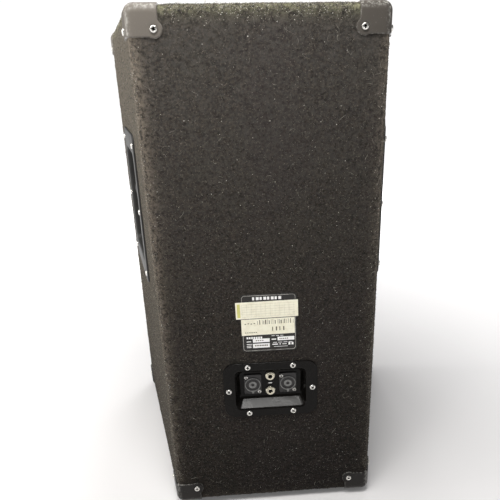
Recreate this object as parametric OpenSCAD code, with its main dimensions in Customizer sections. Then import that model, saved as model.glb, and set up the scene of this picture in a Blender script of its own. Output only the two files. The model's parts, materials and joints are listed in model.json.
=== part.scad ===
/* [Cabinet] */
// Height of the cabinet's body, without its feet
body_h = 720; // [715:1:760]
// Width of the cabinet across its rear face
rear_w = 303; // [300:1:320]
// Width of the cabinet across its front face
front_w = 511; // [509:1:530]
// Depth of the cabinet from its front face to its rear face
body_d = 367; // [365:1:390]
// Radius of the cabinet's outer edges
edge_r = 10; // [8:1:12]
// Thickness of the plywood panels
ply_t = 18; // [16:1:18]
// Thickness of the carpet glued over the plywood
carpet_t = 3; // [2:0.5:3]
// Height of the rubber feet
foot_h = 8; // [6:1:12]

/* [Corner protectors] */
// Thickness of a corner protector's shell
guard_t = 2; // [1.5:0.5:2.5]
// Reach of a corner protector's square legs from the corner
guard_leg = 35.5; // [32:0.5:38]
// Radius of the ear around a corner protector's screw
guard_ear_r = 10; // [8:0.5:11]
// Distance from the corner to a protector's screws, across the cabinet
guard_screw_in = 30; // [28:0.5:32]
// Distance from the top or bottom to a protector's screws
guard_screw_drop = 27; // [25:0.5:29]

/* [Handles] */
// Length of a handle's mounting plate along the side panel
handle_plate_l = 178; // [170:1:190]
// Height of a handle's mounting plate
handle_plate_h = 228; // [220:1:236]
// Height of the handles' centres above the bottom of the cabinet
handle_z = 453; // [445:1:460]
// Depth of a handle's cup behind the side panel's face
handle_cup_depth = 62; // [55:1:64]
// Radius of the grip bar
grip_r = 13; // [11:0.5:14]

/* [Input panel] */
// Width of the input dish's flange
dish_w = 138.6; // [136:0.2:142]
// Height of the input dish's flange
dish_h = 91.6; // [90:0.2:94]
// Height of the input dish's centre above the bottom of the cabinet
dish_z = 204; // [195:1:215]
// Depth of the input dish's floor behind the cabinet's rear face
dish_depth = 15; // [12:1:18]
// Distance from the dish's centre to each speaker socket's centre
socket_x = 26.5; // [26:0.1:28]
// Distance between the two jack sockets' centres
jack_gap = 26; // [25:0.5:28]
// Radius of a jack socket's bore, for a 6.35 mm plug
jack_bore_r = 3.25; // [3.2:0.01:3.27]

/* [Woofer] */
// Radius of the woofer's frame
woofer_r = 193.5; // [190:0.5:195]
// Height of the woofer's centre above the bottom of the cabinet
woofer_z = 232; // [228:1:234]

/* [Horn] */
// Width of the horn's flange
horn_w = 300; // [290:1:310]
// Height of the horn's flange
horn_h = 172; // [160:1:176]
// Height of the horn's centre above the bottom of the cabinet
horn_z = 597; // [594:1:600]
// Depth of the horn from the baffle to its throat
horn_depth = 125; // [110:1:130]
// Radius of the horn's throat
throat_r = 12.7; // [12:0.1:13]

/* [Ports] */
// Inside radius of a port tube
port_r = 39; // [36:0.5:40]
// Length of a port tube behind the baffle's face
port_l = 65; // [50:1:66]

/* [Pole socket] */
// Radius of the pole socket's bore, for a 35 mm pole
pole_r = 17.8; // [17.6:0.05:17.9]
// Depth of the pole socket inside the cabinet
pole_depth = 85; // [70:1:90]

/* [Hidden] */
$fn = 72;

// Screws: shank, clearance hole and pan head
shank_r = 2;
screw_hole_r = 2.15;
head_r = 4.2;
head_h = 2.2;
bolt_r = 2.5;
bolt_hole_r = 2.65;
bolt_head_r = 4.8;
bolt_head_h = 3;

// The cabinet's layers and planes, in its own frame: z is 0 at its bottom and y is 0 at mid depth
inner_in = carpet_t + ply_t;
flare = atan((front_w - rear_w) / 2 / body_d);
side_len = body_d / cos(flare);
side_mid_x = (rear_w + front_w) / 4;
recess_depth = 24;
baffle_t = 18;
baffle_y = -body_d / 2 + recess_depth;
baffle_back_y = baffle_y + baffle_t;
recess_in = inner_in + carpet_t;
rear_y = body_d / 2;
front_y = -body_d / 2;
far = 2 * front_w;
// The origin is under the middle of the whole part's box. A protector stands proud at the front
// and a screw's head on a protector at the rear, so the body moves forward by half a head
body_y0 = -head_h / 2;

// Handles
handle_plate_t = 2.5;
handle_wall = 3;
handle_cup = [142, 172];
handle_cup_round = 17;
grip_v = 10;
grip_w = -16;
grip_pin_r = 6;
handle_screw_u = 79;
handle_screw_v = 98;

// Input dish
dish_flange_t = 2;
dish_wall = 2.5;
dish_mouth = [106, 66];
dish_floor = [92, 46];
socket_flange = [26, 34];
socket_flange_t = 2;
socket_barrel_r = 11.8;
socket_slot_r = 10.6;
socket_core_r = 6;
socket_slot_depth = 16;
socket_body_depth = 28;
socket_screw = [9.8, 12.8];
jack_nut_t = 2.5;
jack_thread_r = 5;
jack_body = [14, 14, 26];
jack_bore_depth = 30;

// Labels
label_w = 78.2;
label_z0 = 268.3;
label_z1 = 358.4;
label_t = 0.6;
tag_t = 0.3;

// Grille
grille_in = 25;
grille_set_back = 4;
grille_stand = recess_depth - grille_set_back;
grille_t = 1.2;
grille_screw_in = 40;

// Woofer, along its own axis from the baffle's face into the cabinet
woofer_hole_r = 177;
frame_t = 2.5;
gasket_t = 3.9;
edge_land_t = 0.9;
land_gap = 0.1;
cone_r = 150;
wave_r = 168.5;
cone_front = -3;
cone_back = 62;
cone_t = 0.9;
neck_r = 32.5;
cap_r = 50;
cap_rise = 17;
former_r = 31.8;
former_t = 0.5;
former_end = 112;
coil_r = 33.1;
coil_z = [93, 107];
pole_piece_r = 31;
plate_hole_r = 33.9;
ledge_z = 75;
frame_back_z = 96;
top_plate_t = 8;
magnet_t = 20;
yoke_t = 10;
woofer_bolt_r = 187;

// Horn driver, along the horn's axis
driver_r = 55;
driver_body_t = 25;
driver_cover_r = 46;
driver_cover_t = 18;
horn_wall = 3;
horn_flange_t = 5;
horn_bolt_face_r = 38;
horn_bolt_face_t = 6;
dome_r = 22;

// Ports
port_x = 165;
port_z = 455;
port_wall = 3;
port_flange_r = 52;
port_flange_t = 4;

// Crossover
board = [180, 1.6, 110];
board_z = 330;
board_gap = 10;
board_y = rear_y - inner_in - board_gap;

// Pole socket and feet
pole_y = -30;
pole_wall = 3.2;
pole_flange_r = 55;
pole_flange_t = 3;
pole_screw_r = 45;
foot_r = 19;
foot_spots = [[-95, 125], [95, 125], [-200, -130], [200, -130]];

// Half the cabinet's width at depth y, measured to a plane that lies inset inside the side face
function half_w(y, inset = 0) =
    rear_w / 2 + (body_d / 2 - y) * tan(flare) - inset / cos(flare);

// ---- Shared shapes ----

module place() translate([0, body_y0, foot_h]) children();

// u runs left as seen from behind, v up and w out of the rear face
module on_rear() translate([0, rear_y, 0]) rotate([90, 0, 180]) children();

// u runs to the rear, v up and w out of a side face
module on_side(side) {
    mirror([side < 0 ? 1 : 0, 0, 0])
        translate([side_mid_x, 0, 0]) rotate([90, 0, 90 + flare]) children();
}

// z runs from the baffle's face into the cabinet
module on_baffle(x, z) translate([x, baffle_y, z]) rotate([-90, 0, 0]) children();

module ball(r) {
    rotate_extrude($fn = 24)
        polygon([for (a = [-90 : 15 : 90]) [r * cos(a), r * sin(a)]]);
}

// The cabinet's outer form, moved inwards by inset
module rounded_body(inset) {
    hull()
        for (side = [-1, 1], y = [front_y + edge_r, rear_y - edge_r], z = [edge_r, body_h - edge_r])
            translate([side * half_w(y, edge_r), y, z]) ball(edge_r - inset);
}

// A block between two depths and two heights, whose sides lie inset inside the side faces
module prism(inset, y0, y1, z0, z1) {
    translate([0, 0, z0]) linear_extrude(z1 - z0)
        polygon([
            [-half_w(y0, inset), y0], [half_w(y0, inset), y0],
            [half_w(y1, inset), y1], [-half_w(y1, inset), y1]
        ]);
}

module rounded_rect(size, r) {
    square([size[0] - 2 * r, size[1]], center = true);
    square([size[0], size[1] - 2 * r], center = true);
    for (x = [-1, 1], y = [-1, 1])
        translate([x * (size[0] / 2 - r), y * (size[1] / 2 - r)]) circle(r, $fn = 48);
}

module rounded_plate(size, r, z0, z1) {
    translate([0, 0, z0]) linear_extrude(z1 - z0) rounded_rect(size, r);
}

module ring(r_in, r_out, z0, z1) {
    translate([0, 0, z0]) difference() {
        cylinder(h = z1 - z0, r = r_out);
        translate([0, 0, -1]) cylinder(h = z1 - z0 + 2, r = r_in);
    }
}

// A pan head screw whose head stands on z = 0, with a cross recess
module screw(length, shank = shank_r, head = head_r, rise = head_h) {
    slot = head * 0.9;
    difference() {
        rotate_extrude($fn = 24)
            polygon([
                [0, -length], [shank * 0.2, -length], [shank, -length + 2 * shank], [shank, 0],
                [head, 0], [head, rise * 0.35],
                for (a = [20 : 20 : 70]) [head * cos(a * 0.75), rise * (0.35 + 0.65 * sin(a * 1.2))],
                [0, rise]
            ]);
        for (a = [0, 90])
            rotate([0, 0, a]) translate([-slot / 2, -head * 0.11, rise * 0.45])
                cube([slot, head * 0.22, rise]);
    }
}

module screw_hole(r = screw_hole_r, depth = 40) {
    translate([0, 0, -depth]) cylinder(h = depth + 10, r = r, $fn = 24);
}

// ---- Where the screws go ----

module at_guard_screws(side, end, top) {
    z = top ? body_h - guard_screw_drop : guard_screw_drop;
    y = end * (body_d / 2 - guard_screw_in);
    if (end > 0)
        on_rear() translate([-side * (rear_w / 2 - guard_screw_in), z, 0]) children();
    on_side(side) translate([end * (side_len / 2 - guard_screw_in), z, 0]) children();
    translate([side * (half_w(y) - guard_screw_in), y, top ? body_h : 0])
        mirror([0, 0, top ? 0 : 1]) children();
}

module at_all_guard_screws() {
    for (side = [-1, 1], end = [-1, 1], top = [0, 1])
        at_guard_screws(side, end, top) children();
}

module at_handle_screws(side) {
    for (u = [-1, 1], v = [-1, 0, 1])
        on_side(side)
            translate([u * handle_screw_u, handle_z + v * handle_screw_v, 0]) children();
}

module at_dish_screws() {
    for (p = [[-33, 39.5], [33, 39.5], [-33, -39.5], [33, -39.5], [-62, 0], [62, 0]])
        on_rear() translate([p[0], dish_z + p[1], 0]) children();
}

module at_socket_screws(side) {
    for (s = [-1, 1])
        on_rear()
            translate([
                side * socket_x + s * socket_screw[0], dish_z + s * -socket_screw[1], -dish_depth
            ]) children();
}

module at_grille_screws() {
    x = half_w(front_y) - grille_screw_in;
    for (p = [[-x, 60], [x, 60], [-x, 360], [x, 360], [-x, 660], [x, 660], [0, 686], [0, 34]])
        on_baffle(p[0], p[1]) mirror([0, 0, 1]) children();
}

module at_woofer_bolts() {
    for (a = [22.5 : 45 : 360])
        on_baffle(0, woofer_z) rotate([0, 0, a]) translate([woofer_bolt_r, 0, 0])
            mirror([0, 0, 1]) children();
}

module at_horn_bolts() {
    for (x = [-1, 0, 1], z = [-1, 1])
        on_baffle(x * (horn_w / 2 - 6), horn_z + z * (horn_h / 2 - 6))
            mirror([0, 0, 1]) children();
}

module at_port_bolts() {
    for (side = [-1, 1], a = [0 : 90 : 270])
        on_baffle(side * port_x, port_z) rotate([0, 0, a + 45])
            translate([port_flange_r - 5, 0, 0]) mirror([0, 0, 1]) children();
}

module at_pole_screws() {
    for (a = [45 : 90 : 360])
        translate([pole_screw_r * cos(a), pole_y + pole_screw_r * sin(a), 0])
            mirror([0, 0, 1]) children();
}

module at_foot_screws() {
    for (p = foot_spots)
        translate([p[0], p[1], 0]) mirror([0, 0, 1]) children();
}

// ---- Plywood box ----

ply_colour = "burlywood";

module handle_cutout(side) {
    on_side(side) translate([0, handle_z, 0])
        rounded_plate([handle_cup[0] + 2, handle_cup[1] + 2], handle_cup_round + 1, -60, 20);
}

module dish_cutout() {
    on_rear() translate([0, dish_z, 0])
        rounded_plate(
            [dish_mouth[0] + 2 * dish_wall + 2, dish_mouth[1] + 2 * dish_wall + 2], 10, -60, 20
        );
}

module pole_cutout() {
    translate([0, pole_y, -10]) cylinder(h = 60, r = pole_r + pole_wall + 0.5);
}

module panel_top() {
    color(ply_colour) place() difference() {
        intersection() {
            rounded_body(carpet_t);
            translate([-far, -far, body_h - inner_in]) cube([2 * far, 2 * far, inner_in]);
        }
        at_all_guard_screws() screw_hole(depth = 16);
    }
}

module panel_bottom() {
    color(ply_colour) place() difference() {
        intersection() {
            rounded_body(carpet_t);
            translate([-far, -far, 0]) cube([2 * far, 2 * far, inner_in]);
        }
        at_all_guard_screws() screw_hole(depth = 16);
        at_pole_screws() screw_hole(depth = 16);
        at_foot_screws() screw_hole(depth = 16);
        pole_cutout();
    }
}

module panel_side(side) {
    color(ply_colour) place() difference() {
        intersection() {
            rounded_body(carpet_t);
            translate([side > 0 ? 0 : -far, -far, inner_in])
                cube([far, 2 * far, body_h - 2 * inner_in]);
        }
        prism(inner_in, 2 * front_y, 2 * rear_y, 0, body_h);
        at_all_guard_screws() screw_hole(depth = 16);
        at_handle_screws(side) screw_hole(depth = 16);
        handle_cutout(side);
    }
}

module panel_left() panel_side(-1);

module panel_right() panel_side(1);

module panel_rear() {
    color(ply_colour) place() difference() {
        prism(inner_in, rear_y - inner_in, rear_y - carpet_t, inner_in, body_h - inner_in);
        at_dish_screws() screw_hole(depth = 16);
        at_all_guard_screws() screw_hole(depth = 16);
        dish_cutout();
    }
}

module front_baffle() {
    color("#2a2724") place() difference() {
        prism(inner_in, baffle_y, baffle_back_y, inner_in, body_h - inner_in);
        on_baffle(0, woofer_z) translate([0, 0, -1]) cylinder(h = baffle_t + 2, r = woofer_hole_r);
        on_baffle(0, horn_z)
            rounded_plate([horn_w - 24, horn_h - 24], 12, -1, baffle_t + 1);
        for (side = [-1, 1])
            on_baffle(side * port_x, port_z) translate([0, 0, -1])
                cylinder(h = baffle_t + 2, r = port_r + port_wall + 0.3);
        at_woofer_bolts() screw_hole(bolt_hole_r);
        at_horn_bolts() screw_hole();
        at_port_bolts() screw_hole();
        at_grille_screws() screw_hole(depth = 14);
    }
}

module inner_bracing() {
    brace_z = 300;
    batten = 20;
    color(ply_colour) place() {
        prism(inner_in, 20, 90, brace_z, brace_z + ply_t);
        for (z = [inner_in, body_h - inner_in - batten])
            prism(inner_in, baffle_back_y, baffle_back_y + batten, z, z + batten);
    }
}

// ---- Carpet ----

// The carpet wraps round the front edges into the recess that holds the grille
module carpet_covering() {
    color("#38342f") place() difference() {
        union() {
            difference() {
                rounded_body(0);
                rounded_body(carpet_t);
            }
            prism(inner_in, front_y + 1, baffle_y, inner_in, body_h - inner_in);
        }
        prism(recess_in, front_y - 20, baffle_y + 1, recess_in, body_h - recess_in);
        at_all_guard_screws() screw_hole(depth = 16);
        for (side = [-1, 1]) {
            handle_cutout(side);
            at_handle_screws(side) screw_hole(depth = 16);
        }
        dish_cutout();
        at_dish_screws() screw_hole(depth = 16);
        pole_cutout();
        at_pole_screws() screw_hole(depth = 16);
        at_foot_screws() screw_hole(depth = 16);
    }
}

// ---- Corner protectors ----

// A shell round one corner: three square legs, each with an ear round its screw.
// The front ones stop short of the grille and have no ear on the front face.
module corner_guard(side, end, top) {
    y = end * body_d / 2;
    z = top ? body_h : 0;
    x = side * half_w(y);
    reach = guard_leg + 10;
    color("#4a4743") place() difference() {
        intersection() {
            rounded_body(-guard_t);
            union() {
                translate([
                    side > 0 ? x - guard_leg : x - 10,
                    end > 0 ? y - guard_leg : y - 10,
                    top ? z - guard_leg : z - 10
                ]) cube(reach);
                at_guard_screws(side, end, top)
                    translate([0, 0, -2]) cylinder(h = 10, r = guard_ear_r, $fn = 48);
            }
        }
        rounded_body(0);
        at_guard_screws(side, end, top) screw_hole();
        prism(recess_in - 1, front_y - 20, baffle_y, recess_in - 1, body_h - recess_in + 1);
    }
}

module corner_rear_top_left() corner_guard(-1, 1, true);

module corner_rear_top_right() corner_guard(1, 1, true);

module corner_rear_bottom_left() corner_guard(-1, 1, false);

module corner_rear_bottom_right() corner_guard(1, 1, false);

module corner_front_top_left() corner_guard(-1, -1, true);

module corner_front_top_right() corner_guard(1, -1, true);

module corner_front_bottom_left() corner_guard(-1, -1, false);

module corner_front_bottom_right() corner_guard(1, -1, false);

module corner_screws() {
    color("silver") place() at_all_guard_screws() translate([0, 0, guard_t]) screw(16);
}

// ---- Handles ----

module handle_dish(side) {
    mouth = [handle_cup[0] - 2 * handle_wall, handle_cup[1] - 2 * handle_wall];
    mouth_round = handle_cup_round - handle_wall;
    color("#262523") place() difference() {
        on_side(side) translate([0, handle_z, 0]) difference() {
            union() {
                rounded_plate([handle_plate_l, handle_plate_h], 14, 0, handle_plate_t);
                rounded_plate(handle_cup, handle_cup_round, -handle_cup_depth, 1);
            }
            rounded_plate(mouth, mouth_round, handle_wall - handle_cup_depth, handle_plate_t + 1);
            translate([-handle_cup[0] / 2 - 1, grip_v, grip_w]) rotate([0, 90, 0])
                cylinder(h = handle_cup[0] + 2, r = grip_pin_r + 0.1);
        }
        at_handle_screws(side) screw_hole();
    }
}

module handle_dish_left() handle_dish(-1);

module handle_dish_right() handle_dish(1);

// A grip bar between the cup's end walls, held by a pin at each end
module handle_grip(side) {
    span = handle_cup[0] - 2 * handle_wall - 0.4;
    color("#1b1a19") place() on_side(side)
        translate([0, handle_z + grip_v, grip_w]) rotate([0, 90, 0]) {
            translate([0, 0, -span / 2]) cylinder(h = span, r = grip_r);
            translate([0, 0, -handle_cup[0] / 2]) cylinder(h = handle_cup[0], r = grip_pin_r);
        }
}

module handle_grip_left() handle_grip(-1);

module handle_grip_right() handle_grip(1);

module handle_screws() {
    color("silver") place()
        for (side = [-1, 1])
            at_handle_screws(side) translate([0, 0, handle_plate_t]) screw(16);
}

// ---- Input dish and its sockets ----

// A drafted tub between the mouth's size and the floor's, grown by a margin
module dish_tub(grow, top, bottom) {
    hull() {
        rounded_plate(
            [dish_mouth[0] + 2 * grow, dish_mouth[1] + 2 * grow], 8 + grow, top - 0.01, top
        );
        rounded_plate(
            [dish_floor[0] + 2 * grow, dish_floor[1] + 2 * grow], 6 + grow, bottom, bottom + 0.01
        );
    }
}

module input_dish() {
    color("#1d1c1b") place() difference() {
        on_rear() translate([0, dish_z, 0]) difference() {
            union() {
                rounded_plate([dish_w, dish_h], 16, 0, dish_flange_t);
                dish_tub(dish_wall, 1, -dish_depth - dish_wall);
            }
            dish_tub(0, dish_flange_t + 0.1, -dish_depth);
            for (side = [-1, 1])
                translate([side * socket_x, 0, -40]) cylinder(h = 40, r = socket_barrel_r + 0.2);
            for (v = [-1, 1])
                translate([0, v * jack_gap / 2, -40]) cylinder(h = 40, r = jack_thread_r + 0.2);
        }
        at_dish_screws() screw_hole();
        for (side = [-1, 1])
            at_socket_screws(side) screw_hole(1.7);
    }
}

module input_dish_screws() {
    color("silver") place() at_dish_screws() translate([0, 0, dish_flange_t]) screw(16);
}

// A round locking socket: flange, barrel, ring slot and core, with two lead-in notches
module speaker_socket(side) {
    top = socket_flange_t + 1.6;
    color("#141414") place() difference() {
        on_rear() translate([side * socket_x, dish_z, -dish_depth]) difference() {
            union() {
                rounded_plate(socket_flange, 3, 0, socket_flange_t);
                translate([0, 0, -socket_body_depth])
                    cylinder(h = socket_body_depth + top, r = socket_barrel_r);
            }
            ring(socket_core_r, socket_slot_r, -socket_slot_depth, top + 1);
            translate([0, 0, -12]) cylinder(h = 30, r = 2.6, $fn = 32);
            for (a = [0, 180])
                rotate([0, 0, a + 45]) translate([0, -1.6, -10]) cube([11.2, 3.2, 30]);
        }
        at_socket_screws(side) screw_hole(1.7);
    }
}

// Left and right are as seen from the front
module speaker_socket_left() speaker_socket(1);

module speaker_socket_right() speaker_socket(-1);

module socket_screws() {
    color("silver") place()
        for (side = [-1, 1])
            at_socket_screws(side)
                translate([0, 0, socket_flange_t]) screw(10, 1.5, 2.9, 1.6);
}

// Solder tags behind the sockets: four on each speaker socket and three on each jack
module socket_contacts() {
    back = -dish_depth - socket_body_depth;
    jack_back = -dish_depth - dish_wall - jack_body[2];
    color("#c9a85a") place() on_rear() translate([0, dish_z, 0]) {
        for (side = [-1, 1], a = [0 : 90 : 270])
            translate([side * socket_x, 0, back - 8]) rotate([0, 0, a])
                translate([6, -2.4, 0]) cube([0.8, 4.8, 8]);
        for (v = [-1, 1], x = [-4, 0, 4])
            translate([x - 1.4, v * jack_gap / 2 - 0.4, jack_back - 6]) cube([2.8, 0.8, 6]);
    }
}

// A jack socket: threaded bush through the dish's floor, body behind it and a bore for the plug
module jack_socket(v) {
    color("#b9b7b1") place() on_rear()
        translate([0, dish_z + v * jack_gap / 2, -dish_depth]) difference() {
            union() {
                translate([0, 0, -dish_wall - 1])
                    cylinder(h = dish_wall + jack_nut_t + 2, r = jack_thread_r);
                translate([-jack_body[0] / 2, -jack_body[1] / 2, -dish_wall - jack_body[2]])
                    cube(jack_body);
            }
            translate([0, 0, jack_nut_t + 1 - jack_bore_depth])
                cylinder(h = jack_bore_depth + 1, r = jack_bore_r);
        }
}

module jack_upper() jack_socket(1);

module jack_lower() jack_socket(-1);

module jack_nuts() {
    color("#d8d6cf") place() on_rear()
        for (v = [-1, 1])
            translate([0, dish_z + v * jack_gap / 2, -dish_depth]) difference() {
                cylinder(h = jack_nut_t, r = 8, $fn = 6);
                translate([0, 0, -1]) cylinder(h = jack_nut_t + 2, r = jack_thread_r + 0.05);
            }
}

// ---- Labels ----

module rating_label() {
    color("#15140f") place() on_rear()
        translate([0, (label_z0 + label_z1) / 2, 0])
            rounded_plate([label_w, label_z1 - label_z0], 4, 0, label_t);
}

// Two paper tags stuck over the label, a little askew
module paper_tags() {
    color("#d6cfb6") place() on_rear() {
        translate([-2.5, 334.6, label_t]) rotate([0, 0, 0.8])
            translate([-43.7, -12.8, 0]) cube([87.4, 25.6, tag_t]);
        translate([-1.4, 308.1, label_t]) rotate([0, 0, 0.5])
            translate([-37.7, -12.6, 0]) cube([75.4, 25.2, tag_t]);
    }
}

// ---- Grille ----

// A folded steel tray whose edges rest on the baffle
module grille() {
    back = grille_in + grille_t;
    color("#232323") place() difference() {
        prism(grille_in, front_y + grille_set_back, baffle_y, grille_in, body_h - grille_in);
        prism(back, front_y + grille_set_back + grille_t, baffle_y + 1, back, body_h - back);
        at_grille_screws() translate([0, 0, grille_stand]) screw_hole(depth = 3);
    }
}

module grille_screws() {
    color("dimgray") place()
        at_grille_screws() translate([0, 0, grille_stand]) screw(grille_stand + 13);
}

// ---- Woofer ----

module woofer_frame() {
    difference() {
        rotate_extrude()
            polygon([
                [woofer_r, -frame_t], [woofer_r, 0], [174, 0], [172, 20], [92, 70],
                [90, ledge_z + frame_t], [78, ledge_z + frame_t], [76, frame_back_z],
                [36, frame_back_z], [36, frame_back_z - 3], [73, frame_back_z - 3],
                [75, ledge_z], [87, ledge_z], [89, 69], [169, 19], [171, -frame_t]
            ]);
        for (a = [0 : 60 : 300])
            rotate([0, 0, a]) linear_extrude(80)
                intersection() {
                    difference() {
                        circle(158);
                        circle(102);
                    }
                    polygon([[0, 0], [200, -80], [200, 80]]);
                }
    }
}

module woofer_basket() {
    color("#222222") place() difference() {
        on_baffle(0, woofer_z) woofer_frame();
        at_woofer_bolts() screw_hole(bolt_hole_r);
    }
}

module woofer_gasket() {
    front = -frame_t - edge_land_t - land_gap - gasket_t;
    color("#161616") place() difference() {
        on_baffle(0, woofer_z) ring(178, woofer_r - 0.5, front, front + gasket_t);
        at_woofer_bolts() screw_hole(bolt_hole_r);
    }
}

module woofer_top_plate() {
    color("gray") place() on_baffle(0, woofer_z)
        ring(plate_hole_r, 72, frame_back_z, frame_back_z + top_plate_t);
}

module woofer_magnet() {
    z0 = frame_back_z + top_plate_t;
    color("#3a3a3c") place() on_baffle(0, woofer_z) ring(38, 78, z0, z0 + magnet_t);
}

module woofer_yoke() {
    z0 = frame_back_z + top_plate_t + magnet_t;
    color("gray") place() on_baffle(0, woofer_z) difference() {
        union() {
            translate([0, 0, z0]) cylinder(h = yoke_t, r = 74);
            translate([0, 0, frame_back_z]) cylinder(h = z0 - frame_back_z + 1, r = pole_piece_r);
        }
        translate([0, 0, frame_back_z - 1]) cylinder(h = 60, r = 10);
    }
}

// The cone's depth at a radius: a shallow curve from the neck out to the front edge
function cone_z(r) =
    let (t = (cone_r - r) / (cone_r - neck_r)) cone_front + (cone_back - cone_front) * pow(t, 0.85);

cone_steps = 12;

function cone_line(shift) = [
    for (i = [0 : cone_steps])
        let (r = neck_r + (cone_r - neck_r) * i / cone_steps) [r, cone_z(r) + shift]
];

function reversed(list) = [for (i = [len(list) - 1 : -1 : 0]) list[i]];

module woofer_cone() {
    color("#2b2a28") place() on_baffle(0, woofer_z)
        rotate_extrude() polygon(concat(cone_line(0), reversed(cone_line(cone_t))));
}

module woofer_dust_cap() {
    seat = cone_z(cap_r) - 0.1;
    function cap_line(r, rise) =
        [for (a = [0 : 10 : 90]) [r * cos(a), seat - rise * sin(a)]];
    color("#242321") place() on_baffle(0, woofer_z)
        rotate_extrude()
            polygon(concat(cap_line(cap_r, cap_rise), reversed(cap_line(cap_r - 1, cap_rise - 1))));
}

module woofer_voice_coil() {
    color("#b06a32") place() on_baffle(0, woofer_z) {
        ring(former_r, former_r + former_t, cone_back - 2, former_end);
        ring(former_r + former_t, coil_r, coil_z[0], coil_z[1]);
    }
}

// A corrugated ring between two radii: waves that many times, from one height to another
function wave_line(r0, r1, z0, z1, waves, height, shift) = [
    for (i = [0 : waves * 6])
        let (t = i / (waves * 6))
            [r0 + (r1 - r0) * t, z0 + (z1 - z0) * t - height * sin(360 * waves * t) + shift]
];

module woofer_surround() {
    land = -frame_t - land_gap - edge_land_t;
    line = concat(
        wave_line(cone_r + 0.3, wave_r, cone_front, land, 2, 2.5, 0), [[182, land]]
    );
    back = concat(
        wave_line(cone_r + 0.3, wave_r, cone_front, land, 2, 2.5, edge_land_t),
        [[182, land + edge_land_t]]
    );
    color("#1e1d1b") place() on_baffle(0, woofer_z)
        rotate_extrude() polygon(concat(line, reversed(back)));
}

module woofer_spider() {
    inner = former_r + former_t + 0.3;
    z1 = ledge_z - 1.2;
    line = concat(wave_line(inner, 72, ledge_z - 4, z1, 4, 1.6, 0), [[85, z1]]);
    back = concat(wave_line(inner, 72, ledge_z - 4, z1, 4, 1.6, 1), [[85, z1 + 1]]);
    color("#a8873f") place() on_baffle(0, woofer_z)
        rotate_extrude() polygon(concat(line, reversed(back)));
}

module driver_screws() {
    gasket_front = frame_t + edge_land_t + land_gap + gasket_t;
    color("dimgray") place() {
        at_woofer_bolts() translate([0, 0, gasket_front])
            screw(gasket_front + 17, bolt_r, bolt_head_r, bolt_head_h);
        at_horn_bolts() translate([0, 0, horn_flange_t]) screw(horn_flange_t + 14);
        at_port_bolts() translate([0, 0, port_flange_t]) screw(port_flange_t + 14);
    }
}

// ---- Horn ----

horn_rings = 10;
horn_sides = 40;

// One ring of the horn, from its mouth at t = 0 to its throat at t = 1: a squarish outline
// that turns into a circle while it shrinks
function horn_ring(t, grow) =
    let (
        a = (throat_r + (horn_w / 2 - 15 - throat_r) * pow(1 - t, 1.7)) + grow,
        b = (throat_r + (horn_h / 2 - 15 - throat_r) * pow(1 - t, 1.3)) + grow,
        n = 2 + 5 * pow(1 - t, 1.5)
    ) [
        for (k = [horn_sides - 1 : -1 : 0])
            let (c = cos(360 * k / horn_sides), s = sin(360 * k / horn_sides))
                [
                    a * sign(c) * pow(abs(c), 2 / n),
                    b * sign(s) * pow(abs(s), 2 / n),
                    t * horn_depth
                ]
    ];

// A closed form lofted through rings that all have the same number of points, each ring
// running clockwise as seen from the next one
module loft(rings) {
    n = len(rings[0]);
    last = len(rings) - 1;
    points = [for (r = rings) each r];
    walls = [
        for (i = [0 : last - 1], k = [0 : n - 1])
            let (a = i * n + k, b = i * n + (k + 1) % n) each [[a, b, b + n], [a, b + n, a + n]]
    ];
    start_cap = [[for (k = [n - 1 : -1 : 0]) k]];
    end_cap = [[for (k = [0 : n - 1]) last * n + k]];
    polyhedron(points, concat(walls, start_cap, end_cap));
}

// The horn's rings, with its first and last ring drawn out by a little beyond the ends
function horn_rings(grow, extend) = [
    for (i = [0 : horn_rings])
        let (ring = horn_ring(i / horn_rings, grow))
            [
                for (p = ring)
                    [p[0], p[1], p[2] + (i == 0 ? -extend : i == horn_rings ? extend : 0)]
            ]
];

module horn_flare() {
    bolt_face_z = horn_depth - horn_bolt_face_t;
    color("#191919") place() difference() {
        on_baffle(0, horn_z) difference() {
            union() {
                rounded_plate([horn_w, horn_h], 10, -horn_flange_t, 0);
                loft(horn_rings(horn_wall, 0));
                translate([0, 0, bolt_face_z]) cylinder(h = horn_bolt_face_t, r = horn_bolt_face_r);
            }
            loft(horn_rings(0, horn_flange_t + 2));
        }
        at_horn_bolts() screw_hole();
    }
}

module horn_driver_body() {
    z1 = horn_depth + driver_body_t;
    color("#2f2f31") place() on_baffle(0, horn_z) difference() {
        translate([0, 0, horn_depth]) cylinder(h = driver_body_t, r = driver_r);
        translate([0, 0, horn_depth - 1]) cylinder(h = driver_body_t, r = throat_r);
        translate([0, 0, z1 - 5]) cylinder(h = 10, r = 32);
        ring(dome_r - 1, dome_r + 2, z1 - 12, z1);
    }
}

module horn_driver_cover() {
    z0 = horn_depth + driver_body_t;
    color("#1c1c1c") place() on_baffle(0, horn_z) difference() {
        translate([0, 0, z0]) cylinder(h = driver_cover_t, r = driver_cover_r);
        translate([0, 0, z0 - 1]) cylinder(h = driver_cover_t - 2, r = driver_cover_r - 4);
    }
}

// A domed foil with its voice coil's former below it and a flat edge round it
module horn_diaphragm() {
    z0 = horn_depth + driver_body_t - 3;
    foil = 0.4;
    dome = [for (a = [0 : 15 : 90]) [dome_r * cos(a), z0 + 7 * sin(a)]];
    inside = [for (a = [0 : 15 : 90]) [(dome_r - foil) * cos(a), z0 - foil + 7 * sin(a)]];
    color("#b8b4a8") place() on_baffle(0, horn_z)
        rotate_extrude()
            polygon(concat(
                [[dome_r + 0.6, z0 - 6], [dome_r + 0.6, z0 - foil], [30, z0 - foil], [30, z0]],
                dome,
                reversed(inside),
                [[dome_r - foil, z0 - 6]]
            ));
}

// ---- Ports ----

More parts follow.
